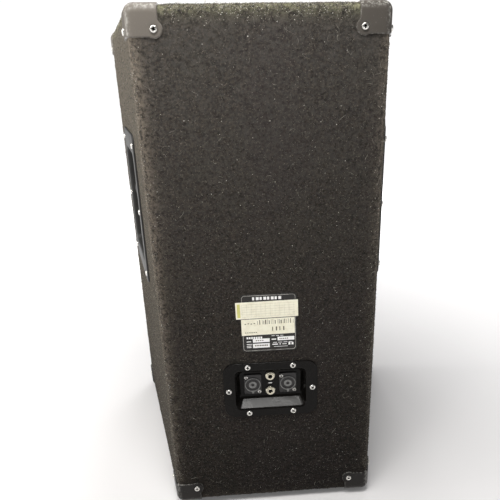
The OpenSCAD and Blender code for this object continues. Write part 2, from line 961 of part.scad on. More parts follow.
module port_tube(side) {
    color("#202020") place() difference() {
        on_baffle(side * port_x, port_z) difference() {
            union() {
                translate([0, 0, -port_flange_t]) cylinder(h = port_flange_t, r = port_flange_r);
                translate([0, 0, -1]) cylinder(h = port_l + 1, r = port_r + port_wall);
            }
            translate([0, 0, -20]) cylinder(h = 200, r = port_r);
        }
        at_port_bolts() screw_hole();
    }
}

module port_tube_left() port_tube(-1);

module port_tube_right() port_tube(1);

// ---- Crossover, wiring and wadding ----

module crossover_board() {
    color("#5b6b3a") place() {
        translate([-board[0] / 2, board_y - board[1], board_z]) cube(board);
        for (x = [-1, 1], z = [0, 1])
            translate([x * (board[0] / 2 - 8), board_y, board_z + 8 + z * (board[2] - 16)])
                rotate([-90, 0, 0]) cylinder(h = board_gap, r = 4, $fn = 24);
    }
}

// x, z, outside radius, inside radius and height of each coil on the board
coils = [[-58, 60, 28, 12, 24], [12, 78, 20, 9, 18], [64, 30, 22, 10, 20]];

module crossover_coils() {
    color("#a5602c") place()
        for (c = coils)
            translate([c[0], board_y - board[1], board_z + c[1]]) rotate([90, 0, 0])
                ring(c[3], c[2], 0, c[4]);
}

// x, z, radius and length of each capacitor on the board
capacitors = [[-26, 14, 11, 46], [62, 72, 8, 34], [-14, 40, 7, 30]];

module crossover_capacitors() {
    color("#3b4c6b") place()
        for (c = capacitors)
            translate([c[0] - c[3] / 2, board_y - board[1] - c[2] - 0.2, board_z + c[1]])
                rotate([0, 90, 0]) cylinder(h = c[3], r = c[2], $fn = 32);
}

// Routes of the leads from the sockets to the crossover and from there to the drivers
dish_lead = [
    [-26, 130, 214], [-30, 118, 236], [-42, 112, 268], [-52, 116, 300], [-56, 128, 322],
    [-56, 138, 336], [-56, 148, 342]
];
woofer_lead = [
    [80, 148, 338], [84, 134, 330], [94, 112, 322], [104, 98, 326], [112, 70, 330],
    [114, 30, 330], [112, -10, 328], [104, -50, 322], [96, -76, 316], [88, -88, 310]
];
horn_lead = [
    [84, 148, 434], [90, 130, 448], [92, 104, 470], [86, 76, 500], [74, 50, 540],
    [62, 30, 572], [54, 18, 590], [48, 4, 596]
];
lead_r = 2.5;
lead_sides = 8;

function unit(v) = v / norm(v);

function heading(route, i) =
    unit(route[min(i + 1, len(route) - 1)] - route[max(i - 1, 0)]);

// A ring of points round a route's point, square to the route
function lead_ring(route, i) =
    let (
        along = heading(route, i),
        across = unit(cross(along, [0.3, 0.2, 0.93])),
        up = cross(along, across)
    ) [
        for (k = [0 : lead_sides - 1])
            let (a = 360 * k / lead_sides) route[i] + lead_r * (cos(a) * across + sin(a) * up)
    ];

module lead(route) loft([for (i = [0 : len(route) - 1]) reversed(lead_ring(route, i))]);

module internal_wires() {
    color("#8a2a22") place() {
        lead(dish_lead);
        lead(woofer_lead);
        lead(horn_lead);
    }
}

module acoustic_wadding() {
    pad = 20;
    color("#c9c5b8") place() {
        prism(inner_in + 6, -100, 150, body_h - inner_in - pad - 1, body_h - inner_in - 1);
        for (side = [-1, 1])
            intersection() {
                difference() {
                    prism(inner_in + 1, -110, 140, 50, 290);
                    prism(inner_in + 1 + pad, -200, 200, 0, 400);
                }
                translate([side > 0 ? 0 : -far, -far, 0]) cube([far, 2 * far, far]);
            }
    }
}

// ---- Underside ----

// A flanged cup in the bottom panel that drops over a stand's pole
module pole_socket() {
    color("#1b1b1b") place() difference() {
        translate([0, pole_y, 0]) difference() {
            union() {
                translate([0, 0, -pole_flange_t]) cylinder(h = pole_flange_t, r = pole_flange_r);
                translate([0, 0, -1])
                    cylinder(h = pole_depth + pole_wall + 1, r = pole_r + pole_wall);
            }
            translate([0, 0, -pole_flange_t - 1])
                cylinder(h = pole_depth + pole_flange_t + 1, r = pole_r);
        }
        at_pole_screws() screw_hole();
    }
}

module rubber_feet() {
    sink = foot_h / 2;
    color("#121212") place()
        for (p = foot_spots)
            translate([p[0], p[1], -foot_h]) difference() {
                cylinder(h = foot_h, r1 = foot_r - 1.5, r2 = foot_r, $fn = 48);
                translate([0, 0, -1]) cylinder(h = sink + 1, r = head_r + 1, $fn = 32);
                cylinder(h = foot_h + 1, r = screw_hole_r, $fn = 24);
            }
}

module base_screws() {
    color("silver") place() {
        at_pole_screws() translate([0, 0, pole_flange_t]) screw(16);
        at_foot_screws() translate([0, 0, foot_h / 2]) screw(18);
    }
}

// ---- Nodes ----

panel_top();
panel_bottom();
panel_left();
panel_right();
panel_rear();
front_baffle();
inner_bracing();
carpet_covering();
corner_rear_top_left();
corner_rear_top_right();
corner_rear_bottom_left();
corner_rear_bottom_right();
corner_front_top_left();
corner_front_top_right();
corner_front_bottom_left();
corner_front_bottom_right();
corner_screws();
handle_dish_left();
handle_dish_right();
handle_grip_left();
handle_grip_right();
handle_screws();
input_dish();
input_dish_screws();
speaker_socket_left();
speaker_socket_right();
socket_screws();
socket_contacts();
jack_upper();
jack_lower();
jack_nuts();
rating_label();
paper_tags();
grille();
grille_screws();
woofer_basket();
woofer_gasket();
woofer_top_plate();
woofer_magnet();
woofer_yoke();
woofer_cone();
woofer_dust_cap();
woofer_voice_coil();
woofer_surround();
woofer_spider();
driver_screws();
horn_flare();
horn_driver_body();
horn_driver_cover();
horn_diaphragm();
port_tube_left();
port_tube_right();
crossover_board();
crossover_coils();
crossover_capacitors();
internal_wires();
acoustic_wadding();
pole_socket();
rubber_feet();
base_screws();
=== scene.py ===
import json
import math

import bpy
import numpy as np
from mathutils import Matrix, Vector


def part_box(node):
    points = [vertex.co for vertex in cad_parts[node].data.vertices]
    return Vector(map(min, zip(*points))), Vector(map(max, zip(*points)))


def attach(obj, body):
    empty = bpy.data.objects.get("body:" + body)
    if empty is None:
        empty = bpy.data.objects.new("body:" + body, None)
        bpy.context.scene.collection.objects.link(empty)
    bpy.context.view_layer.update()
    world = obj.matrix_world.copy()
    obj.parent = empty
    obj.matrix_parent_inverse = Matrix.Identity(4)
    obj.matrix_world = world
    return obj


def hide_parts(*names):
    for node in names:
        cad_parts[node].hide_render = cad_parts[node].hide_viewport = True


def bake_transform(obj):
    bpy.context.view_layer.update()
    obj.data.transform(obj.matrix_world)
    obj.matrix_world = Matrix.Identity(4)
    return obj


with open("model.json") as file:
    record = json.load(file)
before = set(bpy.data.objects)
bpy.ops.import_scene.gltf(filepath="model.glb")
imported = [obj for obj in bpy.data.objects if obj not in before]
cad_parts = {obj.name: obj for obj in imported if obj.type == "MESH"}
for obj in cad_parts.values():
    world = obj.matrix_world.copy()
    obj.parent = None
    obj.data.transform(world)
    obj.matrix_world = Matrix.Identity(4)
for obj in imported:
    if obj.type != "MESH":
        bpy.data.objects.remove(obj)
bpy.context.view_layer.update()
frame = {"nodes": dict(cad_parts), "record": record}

# A PA loudspeaker cabinet that stands on its feet and is seen from behind. Lengths are in metres:
# +Z is up, the front with the grille faces -Y and the rear with the sockets faces +Y.

# ---- Driving dimensions ----

carpet_low, carpet_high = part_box("carpet_covering")
FRONT_Y = carpet_low.y
REAR_Y = carpet_high.y
BOTTOM = carpet_low.z
TOP = carpet_high.z
MID_Y = (FRONT_Y + REAR_Y) / 2
DEPTH = REAR_Y - FRONT_Y
HEIGHT = TOP - BOTTOM
REAR_HALF = 0.1515
FRONT_HALF = 0.2555
EDGE_R = 0.010
FLARE = math.atan((FRONT_HALF - REAR_HALF) / DEPTH)
SIDE_LEN = DEPTH / math.cos(FLARE)
CARPET_T = 0.0029
RECESS_IN = 0.024
RECESS_DEPTH = 0.024
FOLD_R = 0.004
BAFFLE_Y = FRONT_Y + RECESS_DEPTH

GUARD_T = 0.002
GUARD_LEG = 0.0355
GUARD_EAR_R = 0.010
GUARD_SCREW_IN = 0.030
GUARD_SCREW_DROP = 0.027
GUARD_ROUND = 0.0016
GUARD_SINK = 0.0006
DIMPLE_R = 0.0062
DIMPLE_DEPTH = 0.0005
DIMPLE_SLOPE = 0.0008

HANDLE_V = 0.453
HANDLE_PLATE = (0.178, 0.228)
HANDLE_CUP = (0.142, 0.172)
HANDLE_DEPTH = 0.062
HANDLE_PLATE_T = 0.0025
HANDLE_SCREW = (0.079, 0.098)
GRIP_R = 0.013
GRIP_RIBS = 15

DISH_V = 0.204
DISH_PLATE = (0.1386, 0.0916)
DISH_MOUTH = (0.106, 0.066)
DISH_DEPTH = 0.015
DISH_WALL = 0.0025
DISH_DRAFT = 0.010
DISH_PLATE_T = 0.002
SOCKET_U = 0.0265
SOCKET_SCREW = (0.0098, 0.0128)
FLANGE_T = 0.002
JACK_V = 0.013

LABEL_SIZE = (0.0782, 0.0901)
LABEL_V = 0.31335
LABEL_T = 0.0006
PRINT_T = 0.00006

WOOFER_V = 0.232
HORN_V = 0.597
HORN_SIZE = (0.300, 0.172)
HORN_DEPTH = 0.125
PORT_U = 0.165
PORT_V = 0.455
PORT_R = 0.039
POLE_Y = MID_Y - 0.030
POLE_R = 0.0178
POLE_SCREW_R = 0.045
FOOT_SPOTS = [(-0.095, 0.125), (0.095, 0.125), (-0.200, -0.130), (0.200, -0.130)]

rng = np.random.default_rng(7)


def half_width(y, inset=0.0):
    """Half the cabinet's width at a depth, to a plane that lies inset inside the side face."""
    return REAR_HALF + (REAR_Y - y) * math.tan(FLARE) - inset / math.cos(FLARE)


# ---- Frames of the faces: u and v lie in the face and w points out of it ----

def face_frame(u, v, w, origin):
    rows = [(u[k], v[k], w[k], origin[k]) for k in range(3)]
    return Matrix([*rows, (0, 0, 0, 1)])


def on_rear(u, v, w=0.0):
    """u runs left as seen from the front, and v up from the cabinet's bottom."""
    base = face_frame((-1, 0, 0), (0, 0, 1), (0, 1, 0), (0, REAR_Y, BOTTOM))
    return base @ Matrix.Translation((u, v, w))


def on_side(side, u, v, w=0.0):
    """u runs to the rear along the side face from its middle, and v up."""
    sine, cosine = math.sin(FLARE), math.cos(FLARE)
    middle = side * (REAR_HALF + FRONT_HALF) / 2
    base = face_frame(
        (-side * sine, cosine, 0), (0, 0, 1), (side * cosine, sine, 0), (middle, MID_Y, BOTTOM)
    )
    return base @ Matrix.Translation((u, v, w))


def on_baffle(u, v, w=0.0):
    """w points out of the front, so it is negative inside the cabinet."""
    base = face_frame((1, 0, 0), (0, 0, 1), (0, -1, 0), (0, BAFFLE_Y, BOTTOM))
    return base @ Matrix.Translation((u, v, w))


def on_end(top, x, y, w=0.0):
    """On the top or on the underside."""
    up = 1 if top else -1
    base = face_frame((1, 0, 0), (0, up, 0), (0, 0, up), (x, y, TOP if top else BOTTOM))
    return base @ Matrix.Translation((0, 0, w))


# ---- Mesh tools: a shell is its points and a list of face arrays ----

def unit(vectors):
    """The vectors at length one."""
    return vectors / (np.linalg.norm(vectors, axis=-1, keepdims=True) + 1e-20)


def circle(radius, level, angles):
    """A ring of points at those angles round w."""
    return np.column_stack([np.cos(angles) * radius, np.sin(angles) * radius, angles * 0 + level])


def even_angles(count):
    return np.arange(count) / count * math.tau


def outward(points, faces):
    """The faces of a closed shell, all turned over if it is inside out."""
    volume = 0.0
    for group in faces:
        corners = [points[group[:, k]] for k in range(group.shape[1])]
        for second, third in zip(corners[1:-1], corners[2:]):
            volume += np.einsum("ij,ij->", corners[0], np.cross(second, third))
    return [group[:, ::-1] for group in faces] if volume < 0 else faces


def joined(shells):
    """One shell from several, each turned the right way out."""
    points, groups, start = [], {3: [], 4: []}, 0
    for spots, faces in shells:
        for group in outward(spots, faces):
            groups[group.shape[1]].append(group + start)
        points.append(spots)
        start += len(spots)
    return np.concatenate(points), [np.concatenate(g) for g in groups.values() if g]


def moved(shell, matrix):
    """The shell in another frame."""
    points, faces = shell
    turn = np.array(matrix)
    return points @ turn[:3, :3].T + turn[:3, 3], faces


def piece(name, shells, look, body="cabinet", replaces=(), edge=None, sharp=38):
    """One object made of closed shells, which rides on a body and stands for CAD nodes. Its slot
    has its look's name."""
    points, faces = joined(shells)
    mesh = bpy.data.meshes.new(name)
    sizes = np.concatenate([np.full(len(group), group.shape[1]) for group in faces])
    corners = np.concatenate([group.ravel() for group in faces])
    mesh.vertices.add(len(points))
    mesh.vertices.foreach_set("co", points.astype(np.float32).ravel())
    mesh.loops.add(len(corners))
    mesh.loops.foreach_set("vertex_index", corners.astype(np.int32))
    mesh.polygons.add(len(sizes))
    starts = np.concatenate([[0], np.cumsum(sizes)[:-1]])
    mesh.polygons.foreach_set("loop_start", starts.astype(np.int32))
    mesh.polygons.foreach_set("loop_total", sizes.astype(np.int32))
    mesh.update(calc_edges=True)
    mesh.polygons.foreach_set("use_smooth", np.ones(len(sizes), bool))
    mesh.set_sharp_from_angle(angle=math.radians(sharp))
    if edge is not None:
        attribute = mesh.attributes.new("edge", "FLOAT", "POINT")
        attribute.data.foreach_set("value", edge.astype(np.float32))
    mesh.materials.append(LOOKS[look])
    made = bpy.data.objects.new(name, mesh)
    bpy.context.scene.collection.objects.link(made)
    if body:
        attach(made, body)
    if replaces:
        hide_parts(*replaces)
    return made


def grid_quads(rows, columns, around=False):
    """Quads of a grid whose points are numbered row by row; around closes each row."""
    across = columns if around else columns - 1
    row, column = np.meshgrid(np.arange(rows - 1), np.arange(across), indexing="ij")
    first = (row * columns + column).ravel()
    second = (row * columns + (column + 1) % columns).ravel()
    return np.column_stack([first, second, second + columns, first + columns])


def loft(rings, ends="capped"):
    """A closed shell through rings; its ends are capped, or its last ring meets its first."""
    rings = np.array(rings, float)
    count, sides, _ = rings.shape
    points = rings.reshape(-1, 3)
    if ends == "looped":
        return points, [grid_quads(count + 1, sides, True) % (count * sides)]
    around = np.arange(sides)
    ahead = (around + 1) % sides
    last = (count - 1) * sides
    start_fan = np.column_stack([ahead, around, np.full(sides, len(points))])
    end_fan = np.column_stack([last + around, last + ahead, np.full(sides, len(points) + 1)])
    points = np.vstack([points, rings[0].mean(0), rings[-1].mean(0)])
    return points, [grid_quads(count, sides, True), np.vstack([start_fan, end_fan])]


def revolve(profile, sides=64, ends="capped"):
    """A shell turned round w from (radius, w) pairs."""
    return loft([circle(r, w, even_angles(sides)) for r, w in profile], ends)


def rounded_path(corners, steps=5):
    """A line through corners, each (x, y, radius), with an arc of that radius at each."""
    line = []
    for i, (x, y, radius) in enumerate(corners):
        here = np.array([x, y])
        if radius == 0 or i in (0, len(corners) - 1):
            line.append(here)
            continue
        back = np.array(corners[i - 1][:2]) - here
        ahead = np.array(corners[i + 1][:2]) - here
        back, ahead = unit(back), unit(ahead)
        half = math.acos(np.clip(back @ ahead, -1, 1)) / 2
        reach = radius / math.tan(half)
        centre = here + unit(back + ahead) * radius / math.sin(half)
        start = here + back * reach - centre
        end = here + ahead * reach - centre
        sweep = math.pi - 2 * half
        for k in range(steps + 1):
            part = sweep * k / steps
            arc = start * math.sin(sweep - part) + end * math.sin(part)
            line.append(centre + arc / math.sin(sweep))
    return np.array(line)


def lathed(name, corners, places, look, node, steps=6, sides=64, ends="looped"):
    """One piece turned from a profile of (radius, w, rounding), once at each place."""
    shell = revolve(rounded_path(corners, steps), sides, ends)
    piece(name, [moved(shell, place) for place in places], look, replaces=[node])


def rect_ring(width, height, radius, level, steps=10):
    """A rounded rectangle as a ring of points at one level."""
    spots = []
    for corner in range(4):
        sx = (1, -1, -1, 1)[corner]
        sy = (1, 1, -1, -1)[corner]
        for k in range(steps + 1):
            turn = math.pi / 2 * (corner + k / steps)
            x = sx * (width / 2 - radius) + radius * math.cos(turn)
            y = sy * (height / 2 - radius) + radius * math.sin(turn)
            spots.append((x, y, level))
    return np.array(spots)


def framed_tub(plate, plate_r, mouth, mouth_r, profile, draft=1.0, steps=10):
    """A plate with a sunk tub: profile is (distance in from the plate's upper edge, level) pairs.
    Past the mouth the side walls draw in by draft times as much as the upper and lower ones."""
    margin_x = (plate[0] - mouth[0]) / 2
    margin = (plate[1] - mouth[1]) / 2
    rings = []
    for inwards, level in profile:
        past = max(inwards - margin, 0)
        share = min(inwards / margin, 1)
        width = plate[0] - 2 * (share * margin_x + past * draft)
        height = plate[1] - 2 * inwards
        radius = max(plate_r + (mouth_r - plate_r) * share - past * 0.2, 0.002)
        rings.append(rect_ring(width, height, min(radius, width / 2.2, height / 2.2), level, steps))
    return loft(rings)


def doubled(outer, inner, groups):
    """A closed shell from a sheet's outer side, its inner side and the faces they share."""
    count = len(outer)
    sides = [group[:, [k, (k + 1) % group.shape[1]]] for group in groups for k in range(group.shape[1])]
    edges = np.concatenate(sides)
    keys = np.sort(edges, axis=1)
    _, first, times = np.unique(keys, axis=0, return_index=True, return_counts=True)
    rim = edges[first[times == 1]]
    walls = np.column_stack([rim[:, 1], rim[:, 0], rim[:, 0] + count, rim[:, 1] + count])
    faces = [np.vstack([group, group[:, ::-1] + count]) for group in groups]
    return np.vstack([outer, inner]), [*faces, walls]


def closed_sheet(outer, inner, quads):
    """A doubled sheet of quads without the points that none of them uses."""
    points, faces = doubled(outer, inner, [quads])
    used = np.unique(quads)
    used = np.concatenate([used, used + len(outer)])
    number = np.zeros(len(points), int)
    number[used] = np.arange(len(used))
    return points[used], [number[group] for group in faces]


def welded(points, grid):
    """Which points are the first at their place, and the number that each point gets."""
    keys = np.round(points / grid).astype(np.int64)
    _, first, number = np.unique(keys, axis=0, return_index=True, return_inverse=True)
    return first, number.ravel()


def repeated(copies, groups):
    """One shell from the points of many copies and the faces as numbered within a copy."""
    starts = (np.arange(len(copies)) * copies.shape[1])[:, None, None]
    faces = [(group + starts).reshape(-1, group.shape[1]) for group in groups]
    return copies.reshape(-1, copies.shape[2]), faces


def box_shell(low, high):
    """A plain block, used only for print a few hundredths of a millimetre thick."""
    x0, y0, z0 = low
    x1, y1, z1 = high
    square = [(x0, y0), (x1, y0), (x1, y1), (x0, y1)]
    return loft([[(x, y, z) for x, y in square] for z in (z0, z1)])


def lattice_noise(points, size, seed=0):
    """Smooth noise from -1 to 1 whose bumps are about size across."""
    scaled = points / size
    cell = np.floor(scaled).astype(np.int64)
    part = scaled - cell
    part = part * part * (3 - 2 * part)
    total = np.zeros(len(points))
    for step in np.ndindex(2, 2, 2):
        x, y, z = (cell[:, k] + step[k] for k in range(3))
        mixed = (x * 73856093) ^ (y * 19349663) ^ (z * 83492791) ^ (seed * 2654435761)
        mixed = (mixed ^ (mixed >> 13)) * 1274126177
        value = ((mixed >> 8) & 0xFFFF) / 32767.5 - 1
        weight = np.prod([part[:, k] if step[k] else 1 - part[:, k] for k in range(3)], axis=0)
        total += weight * value
    return total


# ---- The cabinet's outer form ----

def core_points(points):
    """The nearest points of the core: the cabinet's prism moved in by the edge radius."""
    low_y, high_y = FRONT_Y + EDGE_R, REAR_Y - EDGE_R
    wide, narrow = half_width(low_y, EDGE_R), half_width(high_y, EDGE_R)
    corners = np.array([(-wide, low_y), (wide, low_y), (narrow, high_y), (-narrow, high_y)])
    flat = points[:, :2]
    nearest = flat.copy()
    gap = np.full(len(flat), np.inf)
    inside = np.ones(len(flat), bool)
    for start, end in zip(corners, np.roll(corners, -1, axis=0)):
        along = end - start
        inside &= (flat - start) @ np.array([along[1], -along[0]]) <= 0
        share = np.clip(((flat - start) @ along) / (along @ along), 0, 1)
        spot = start + share[:, None] * along
        distance = np.linalg.norm(flat - spot, axis=1)
        closer = distance < gap
        nearest[closer] = spot[closer]
        gap[closer] = distance[closer]
    nearest[inside] = flat[inside]
    height = np.clip(points[:, 2], BOTTOM + EDGE_R, TOP - EDGE_R)
    return np.column_stack([nearest, height])


SIDE_NORMALS = [
    np.array([side * math.cos(FLARE), math.sin(FLARE), 0]) for side in (-1, 1)
]
FACE_NORMALS = np.array([*SIDE_NORMALS, (0, 1, 0), (0, -1, 0), (0, 0, 1), (0, 0, -1)])


def wrapped(points, offset=0.0):
    """Points of the sharp prism moved onto its rounded form, their normals, and how far
    each lies on a rounded edge, from 0 on a flat face to about 1 on a corner."""
    core = core_points(points)
    normals = unit(points - core)
    reach = EDGE_R + np.broadcast_to(offset, len(points))
    edge = np.clip((1 - (normals @ FACE_NORMALS.T).max(axis=1)) / 0.3, 0, 1)
    return core + normals * reach[:, None], normals, edge


# ---- Materials ----

class Look:
    """A material under construction. Its patterns lie in the piece's own metres."""

    def __init__(self, name, metallic=0.0, **uniform):
        self.material = bpy.data.materials.new(name)
        self.material.use_nodes = True
        self.tree = self.material.node_tree
        self.shader = self.tree.nodes["Principled BSDF"]
        self.shader.inputs["Metallic"].default_value = metallic
        for key, value in uniform.items():
            self.shader.inputs[key.replace("_", " ")].default_value = value
        self.place = self.node("ShaderNodeTexCoord").outputs["Object"]

    def node(self, kind, inputs=None, **settings):
        made = self.tree.nodes.new(kind)
        for key, value in settings.items():
            setattr(made, key, value)
        for key, value in (inputs or {}).items():
            self.set(made.inputs[key], value)
        return made

    def set(self, socket, value):
        if isinstance(value, bpy.types.NodeSocket):
            self.tree.links.new(value, socket)
        elif isinstance(value, tuple) and len(value) == 3 and socket.type == "RGBA":
            socket.default_value = (*value, 1)
        else:
            socket.default_value = value

    def stretched(self, scale, turn=(0, 0, 0)):
        mapping = self.node("ShaderNodeMapping", {"Vector": self.place, "Scale": scale})
        mapping.inputs["Rotation"].default_value = turn
        return mapping.outputs["Vector"]

    def noise(self, size, detail=3.0, rough=0.55, place=None, distortion=0.0):
        values = {
            "Vector": place or self.place, "Scale": 1 / size, "Detail": detail,
            "Roughness": rough, "Distortion": distortion,
        }
        return self.node("ShaderNodeTexNoise", values).outputs["Fac"]

    def cells(self, size, feature="F1", place=None):
        values = {"Vector": place or self.place, "Scale": 1 / size}
        return self.node("ShaderNodeTexVoronoi", values, feature=feature).outputs["Distance"]

    def bands(self, size, direction="Z", distortion=0.0, place=None, profile="SIN"):
        values = {"Vector": place or self.place, "Scale": 0.314 / size, "Distortion": distortion}
        made = self.node("ShaderNodeTexWave", values, wave_type="BANDS", wave_profile=profile)
        made.bands_direction = direction
        return made.outputs["Fac"]

    def span(self, value, low, high, to_low=0.0, to_high=1.0):
        values = {
            "Value": value, "From Min": low, "From Max": high,
            "To Min": to_low, "To Max": to_high,
        }
        return self.node("ShaderNodeMapRange", values, clamp=True).outputs["Result"]

    def math(self, operation, first, second=0.0):
        made = self.node("ShaderNodeMath", operation=operation)
        self.set(made.inputs[0], first)
        self.set(made.inputs[1], second)
        return made.outputs["Value"]

    def mix(self, share, first, second, blend="MIX"):
        made = self.node("ShaderNodeMix", data_type="RGBA", blend_type=blend)
        self.set(made.inputs["Factor"], share)
        self.set(made.inputs["A"] if made.inputs["A"].type == "RGBA" else made.inputs[6], first)
        self.set(made.inputs["B"] if made.inputs["B"].type == "RGBA" else made.inputs[7], second)
        return made.outputs[2]

    def edge(self):
        return self.node("ShaderNodeAttribute", attribute_name="edge").outputs["Fac"]

    def sideways(self):
        """How far the true surface faces sideways, to +X or to -X."""
        normal = self.node("ShaderNodeNewGeometry").outputs["True Normal"]
        across = self.node("ShaderNodeSeparateXYZ", {"Vector": normal}).outputs["X"]
        return self.math("ABSOLUTE", across)

    def along(self, axis):
        return self.node("ShaderNodeSeparateXYZ", {"Vector": self.place}).outputs[axis]

    def bump(self, height, distance, strength=1.0, below=None):
        values = {"Height": height, "Distance": distance, "Strength": strength}
        if below is not None:
            values["Normal"] = below
        return self.node("ShaderNodeBump", values).outputs["Normal"]

    def finish(self, colour, roughness, normal=None):
        self.set(self.shader.inputs["Base Color"], colour)
        self.set(self.shader.inputs["Roughness"], roughness)
        if normal is not None:
            self.set(self.shader.inputs["Normal"], normal)
        return self.material


def carpet_look():
    """Needled black carpet: worn pale on its edges, dusty towards the top, with painted light on its top and
    on its faces to the sides, and painted shade towards the bottom and -X.
    """
    look = Look("carpet", Sheen_Weight=0.05, Sheen_Roughness=0.6, Specular_IOR_Level=0.07)
    grain = look.noise(0.0030, 5.0, 0.8)
    clumps = look.noise(0.0050, 5.0, 0.75, distortion=0.5)
    patches = look.noise(0.055, 4.0, 0.6)
    hues = look.noise(0.13, 3.0, 0.5, place=look.stretched((1.0, 1.0, 0.6), (0.3, 0.8, 0.1)))
    height = look.along("Z")
    base = look.mix(look.span(grain, 0.44, 0.58), (0.0028, 0.0020, 0.0014), (0.070, 0.053, 0.039))
    base = look.mix(look.span(clumps, 0.50, 0.68, 0, 0.75), base, (0.010, 0.008, 0.0062))
    base = look.mix(look.span(patches, 0.40, 0.66, 0, 0.30), base, (0.044, 0.040, 0.029))
    base = look.mix(look.span(hues, 0.46, 0.60, 0, 0.30), base, (0.034, 0.024, 0.026))
    flecks = look.span(look.cells(0.0040), 0.30, 0.14)
    flecks = look.math("MULTIPLY", flecks, look.span(look.noise(0.010, 3.0), 0.44, 0.60))
    turned = look.stretched((1.0, 1.0, 1.0), (0.5, 0.9, 0.2))
    pits = look.span(look.cells(0.0046, place=turned), 0.36, 0.16, 0, 0.85)
    base = look.mix(pits, base, (0.0028, 0.0022, 0.0018))
    base = look.mix(look.math("MULTIPLY", flecks, 0.85), base, (0.135, 0.118, 0.096))
    # Dust towards the top, and painted light too: the upper part is painted lighter where the light falls
    # from above.
    dust_and_painted_light = look.span(height, BOTTOM + 0.05, TOP + 0.02, 0.02, 0.52)
    dust_and_painted_light_share = look.math("MULTIPLY", dust_and_painted_light, look.span(clumps, 0.64, 0.40, 0.35, 1.5))
    base = look.mix(dust_and_painted_light_share, base, (0.088, 0.082, 0.075))
    # Painted light: faces turned to +X or -X are painted pale beige, as if lit at a grazing angle.
    sides = look.span(look.sideways(), 0.5, 0.85, 0, 0.50)
    sides = look.math("MULTIPLY", sides, look.span(grain, 0.38, 0.62, 0.2, 1.0))
    base = look.mix(sides, base, (0.29, 0.25, 0.185))
    # Painted shade: the carpet is painted darker towards the bottom and towards -X.
    painted_shade_by_height = look.span(height, 0.0, TOP, 0.42, 1.12)
    shade = look.math("MULTIPLY", painted_shade_by_height, look.span(look.along("X"), -0.15, 0.15, 0.80, 1.08))
    base = look.mix(1.0, base, shade, "MULTIPLY")
    wear = look.math("MULTIPLY", look.edge(), look.span(clumps, 0.60, 0.42, 0.10, 1.4))
    high_wear = look.math("MULTIPLY", wear, look.span(height, 0.0, TOP, 0.20, 1.0))
    worn = look.mix(look.span(height, TOP - 0.03, TOP - 0.012), (0.28, 0.235, 0.185), (0.29, 0.285, 0.175))
    base = look.mix(high_wear, base, worn)
    relief = look.math("ADD", grain, look.math("MULTIPLY", look.cells(0.0034), -0.5))
    normal = look.bump(relief, 0.0022, 1.0)
    return look.finish(base, 0.95, look.bump(clumps, 0.0035, 0.8, normal))


def fibre_look(name, pale, dark, size=0.012):
    look = Look(name, Sheen_Weight=0.2, Specular_IOR_Level=0.2)
    colour = look.mix(look.span(look.noise(size, 2.0), 0.46, 0.62), dark, pale)
    return look.finish(colour, 0.9)


SCUFF = (0.3, 0.29, 0.27)


def plastic_look(
    name, pale, dark, rough=0.4, grain=0.0006, wear=0.5, worn=SCUFF, specular=0.4, dust_and_painted_light=0.0
):
    """Moulded plastic with a fine grain, faint smears of dust and scuffed edges; where asked, painted light
    makes it paler high up and towards +X.
    """
    look = Look(name, Specular_IOR_Level=specular)
    smears = look.noise(0.035, 5.0, 0.6, distortion=0.8)
    dirt = look.noise(0.004, 5.0, 0.7)
    colour = look.mix(look.span(smears, 0.35, 0.65), dark, pale)
    # Painted light: high up and towards +X the plastic is painted a paler dust grey.
    if dust_and_painted_light:
        across = look.span(look.along("X"), -0.2, 0.2, 0.3, 1.15)
        high = look.math("MULTIPLY", look.span(look.along("Z"), 0.3, TOP, 0, dust_and_painted_light), across)
        colour = look.mix(high, colour, (0.17, 0.152, 0.132))
    colour = look.mix(look.span(dirt, 0.62, 0.75, 0, 0.35 * wear), colour, worn)
    scuff = look.math("MULTIPLY", look.edge(), look.span(dirt, 0.48, 0.62, 0, wear))
    colour = look.mix(scuff, colour, worn)
    roughness = look.span(smears, 0.3, 0.7, rough - 0.07, rough + 0.1)
    normal = look.bump(look.noise(grain, 2.0), 0.00012, 0.5)
    return look.finish(colour, roughness, look.bump(smears, 0.002, 0.08, normal))


def metal_look(name, pale, dark, rough=0.3, grain=0.002, metallic=1.0):
    """Plated or cast metal with tarnish and fine scratches, and painted shade in the recesses that its 'edge'
    attribute marks.
    """
    look = Look(name, metallic=metallic)
    tarnish = look.noise(grain, 4.0, 0.6)
    scratches = look.noise(0.0008, 2.0, place=look.stretched((1, 12, 1), (0.4, 0.2, 0.9)))
    colour = look.mix(look.span(tarnish, 0.35, 0.68), pale, dark)
    # Painted shade: the 'edge' attribute, a screw's recess depth, paints the recess near black.
    colour = look.mix(look.edge(), colour, (0.012, 0.010, 0.009))
    roughness = look.span(tarnish, 0.3, 0.7, rough - 0.08, rough + 0.15)
    return look.finish(colour, roughness, look.bump(scratches, 0.00005, 0.4))


def socket_ring_look():
    """Grey plastic, rubbed pale in places, with painted shade: below the tops of its rims it is painted near
    black, the slot included.
    """
    look = Look("socket_ring", Specular_IOR_Level=0.4)
    # Painted shade: from 1 mm above the dish floor downwards the ring is painted near black, fading to grey
    # by 3.3 mm.
    raised = look.span(look.along("Y"), REAR_Y - DISH_DEPTH + 0.001, REAR_Y - DISH_DEPTH + 0.0033)
    rubs = look.noise(0.002, 4.0, 0.6)
    colour = look.mix(look.span(rubs, 0.35, 0.65), (0.16, 0.16, 0.155), (0.30, 0.30, 0.29))
    colour = look.mix(raised, (0.004, 0.004, 0.004), colour)
    return look.finish(colour, look.span(rubs, 0.3, 0.7, 0.28, 0.45), look.bump(rubs, 0.0001, 0.4))


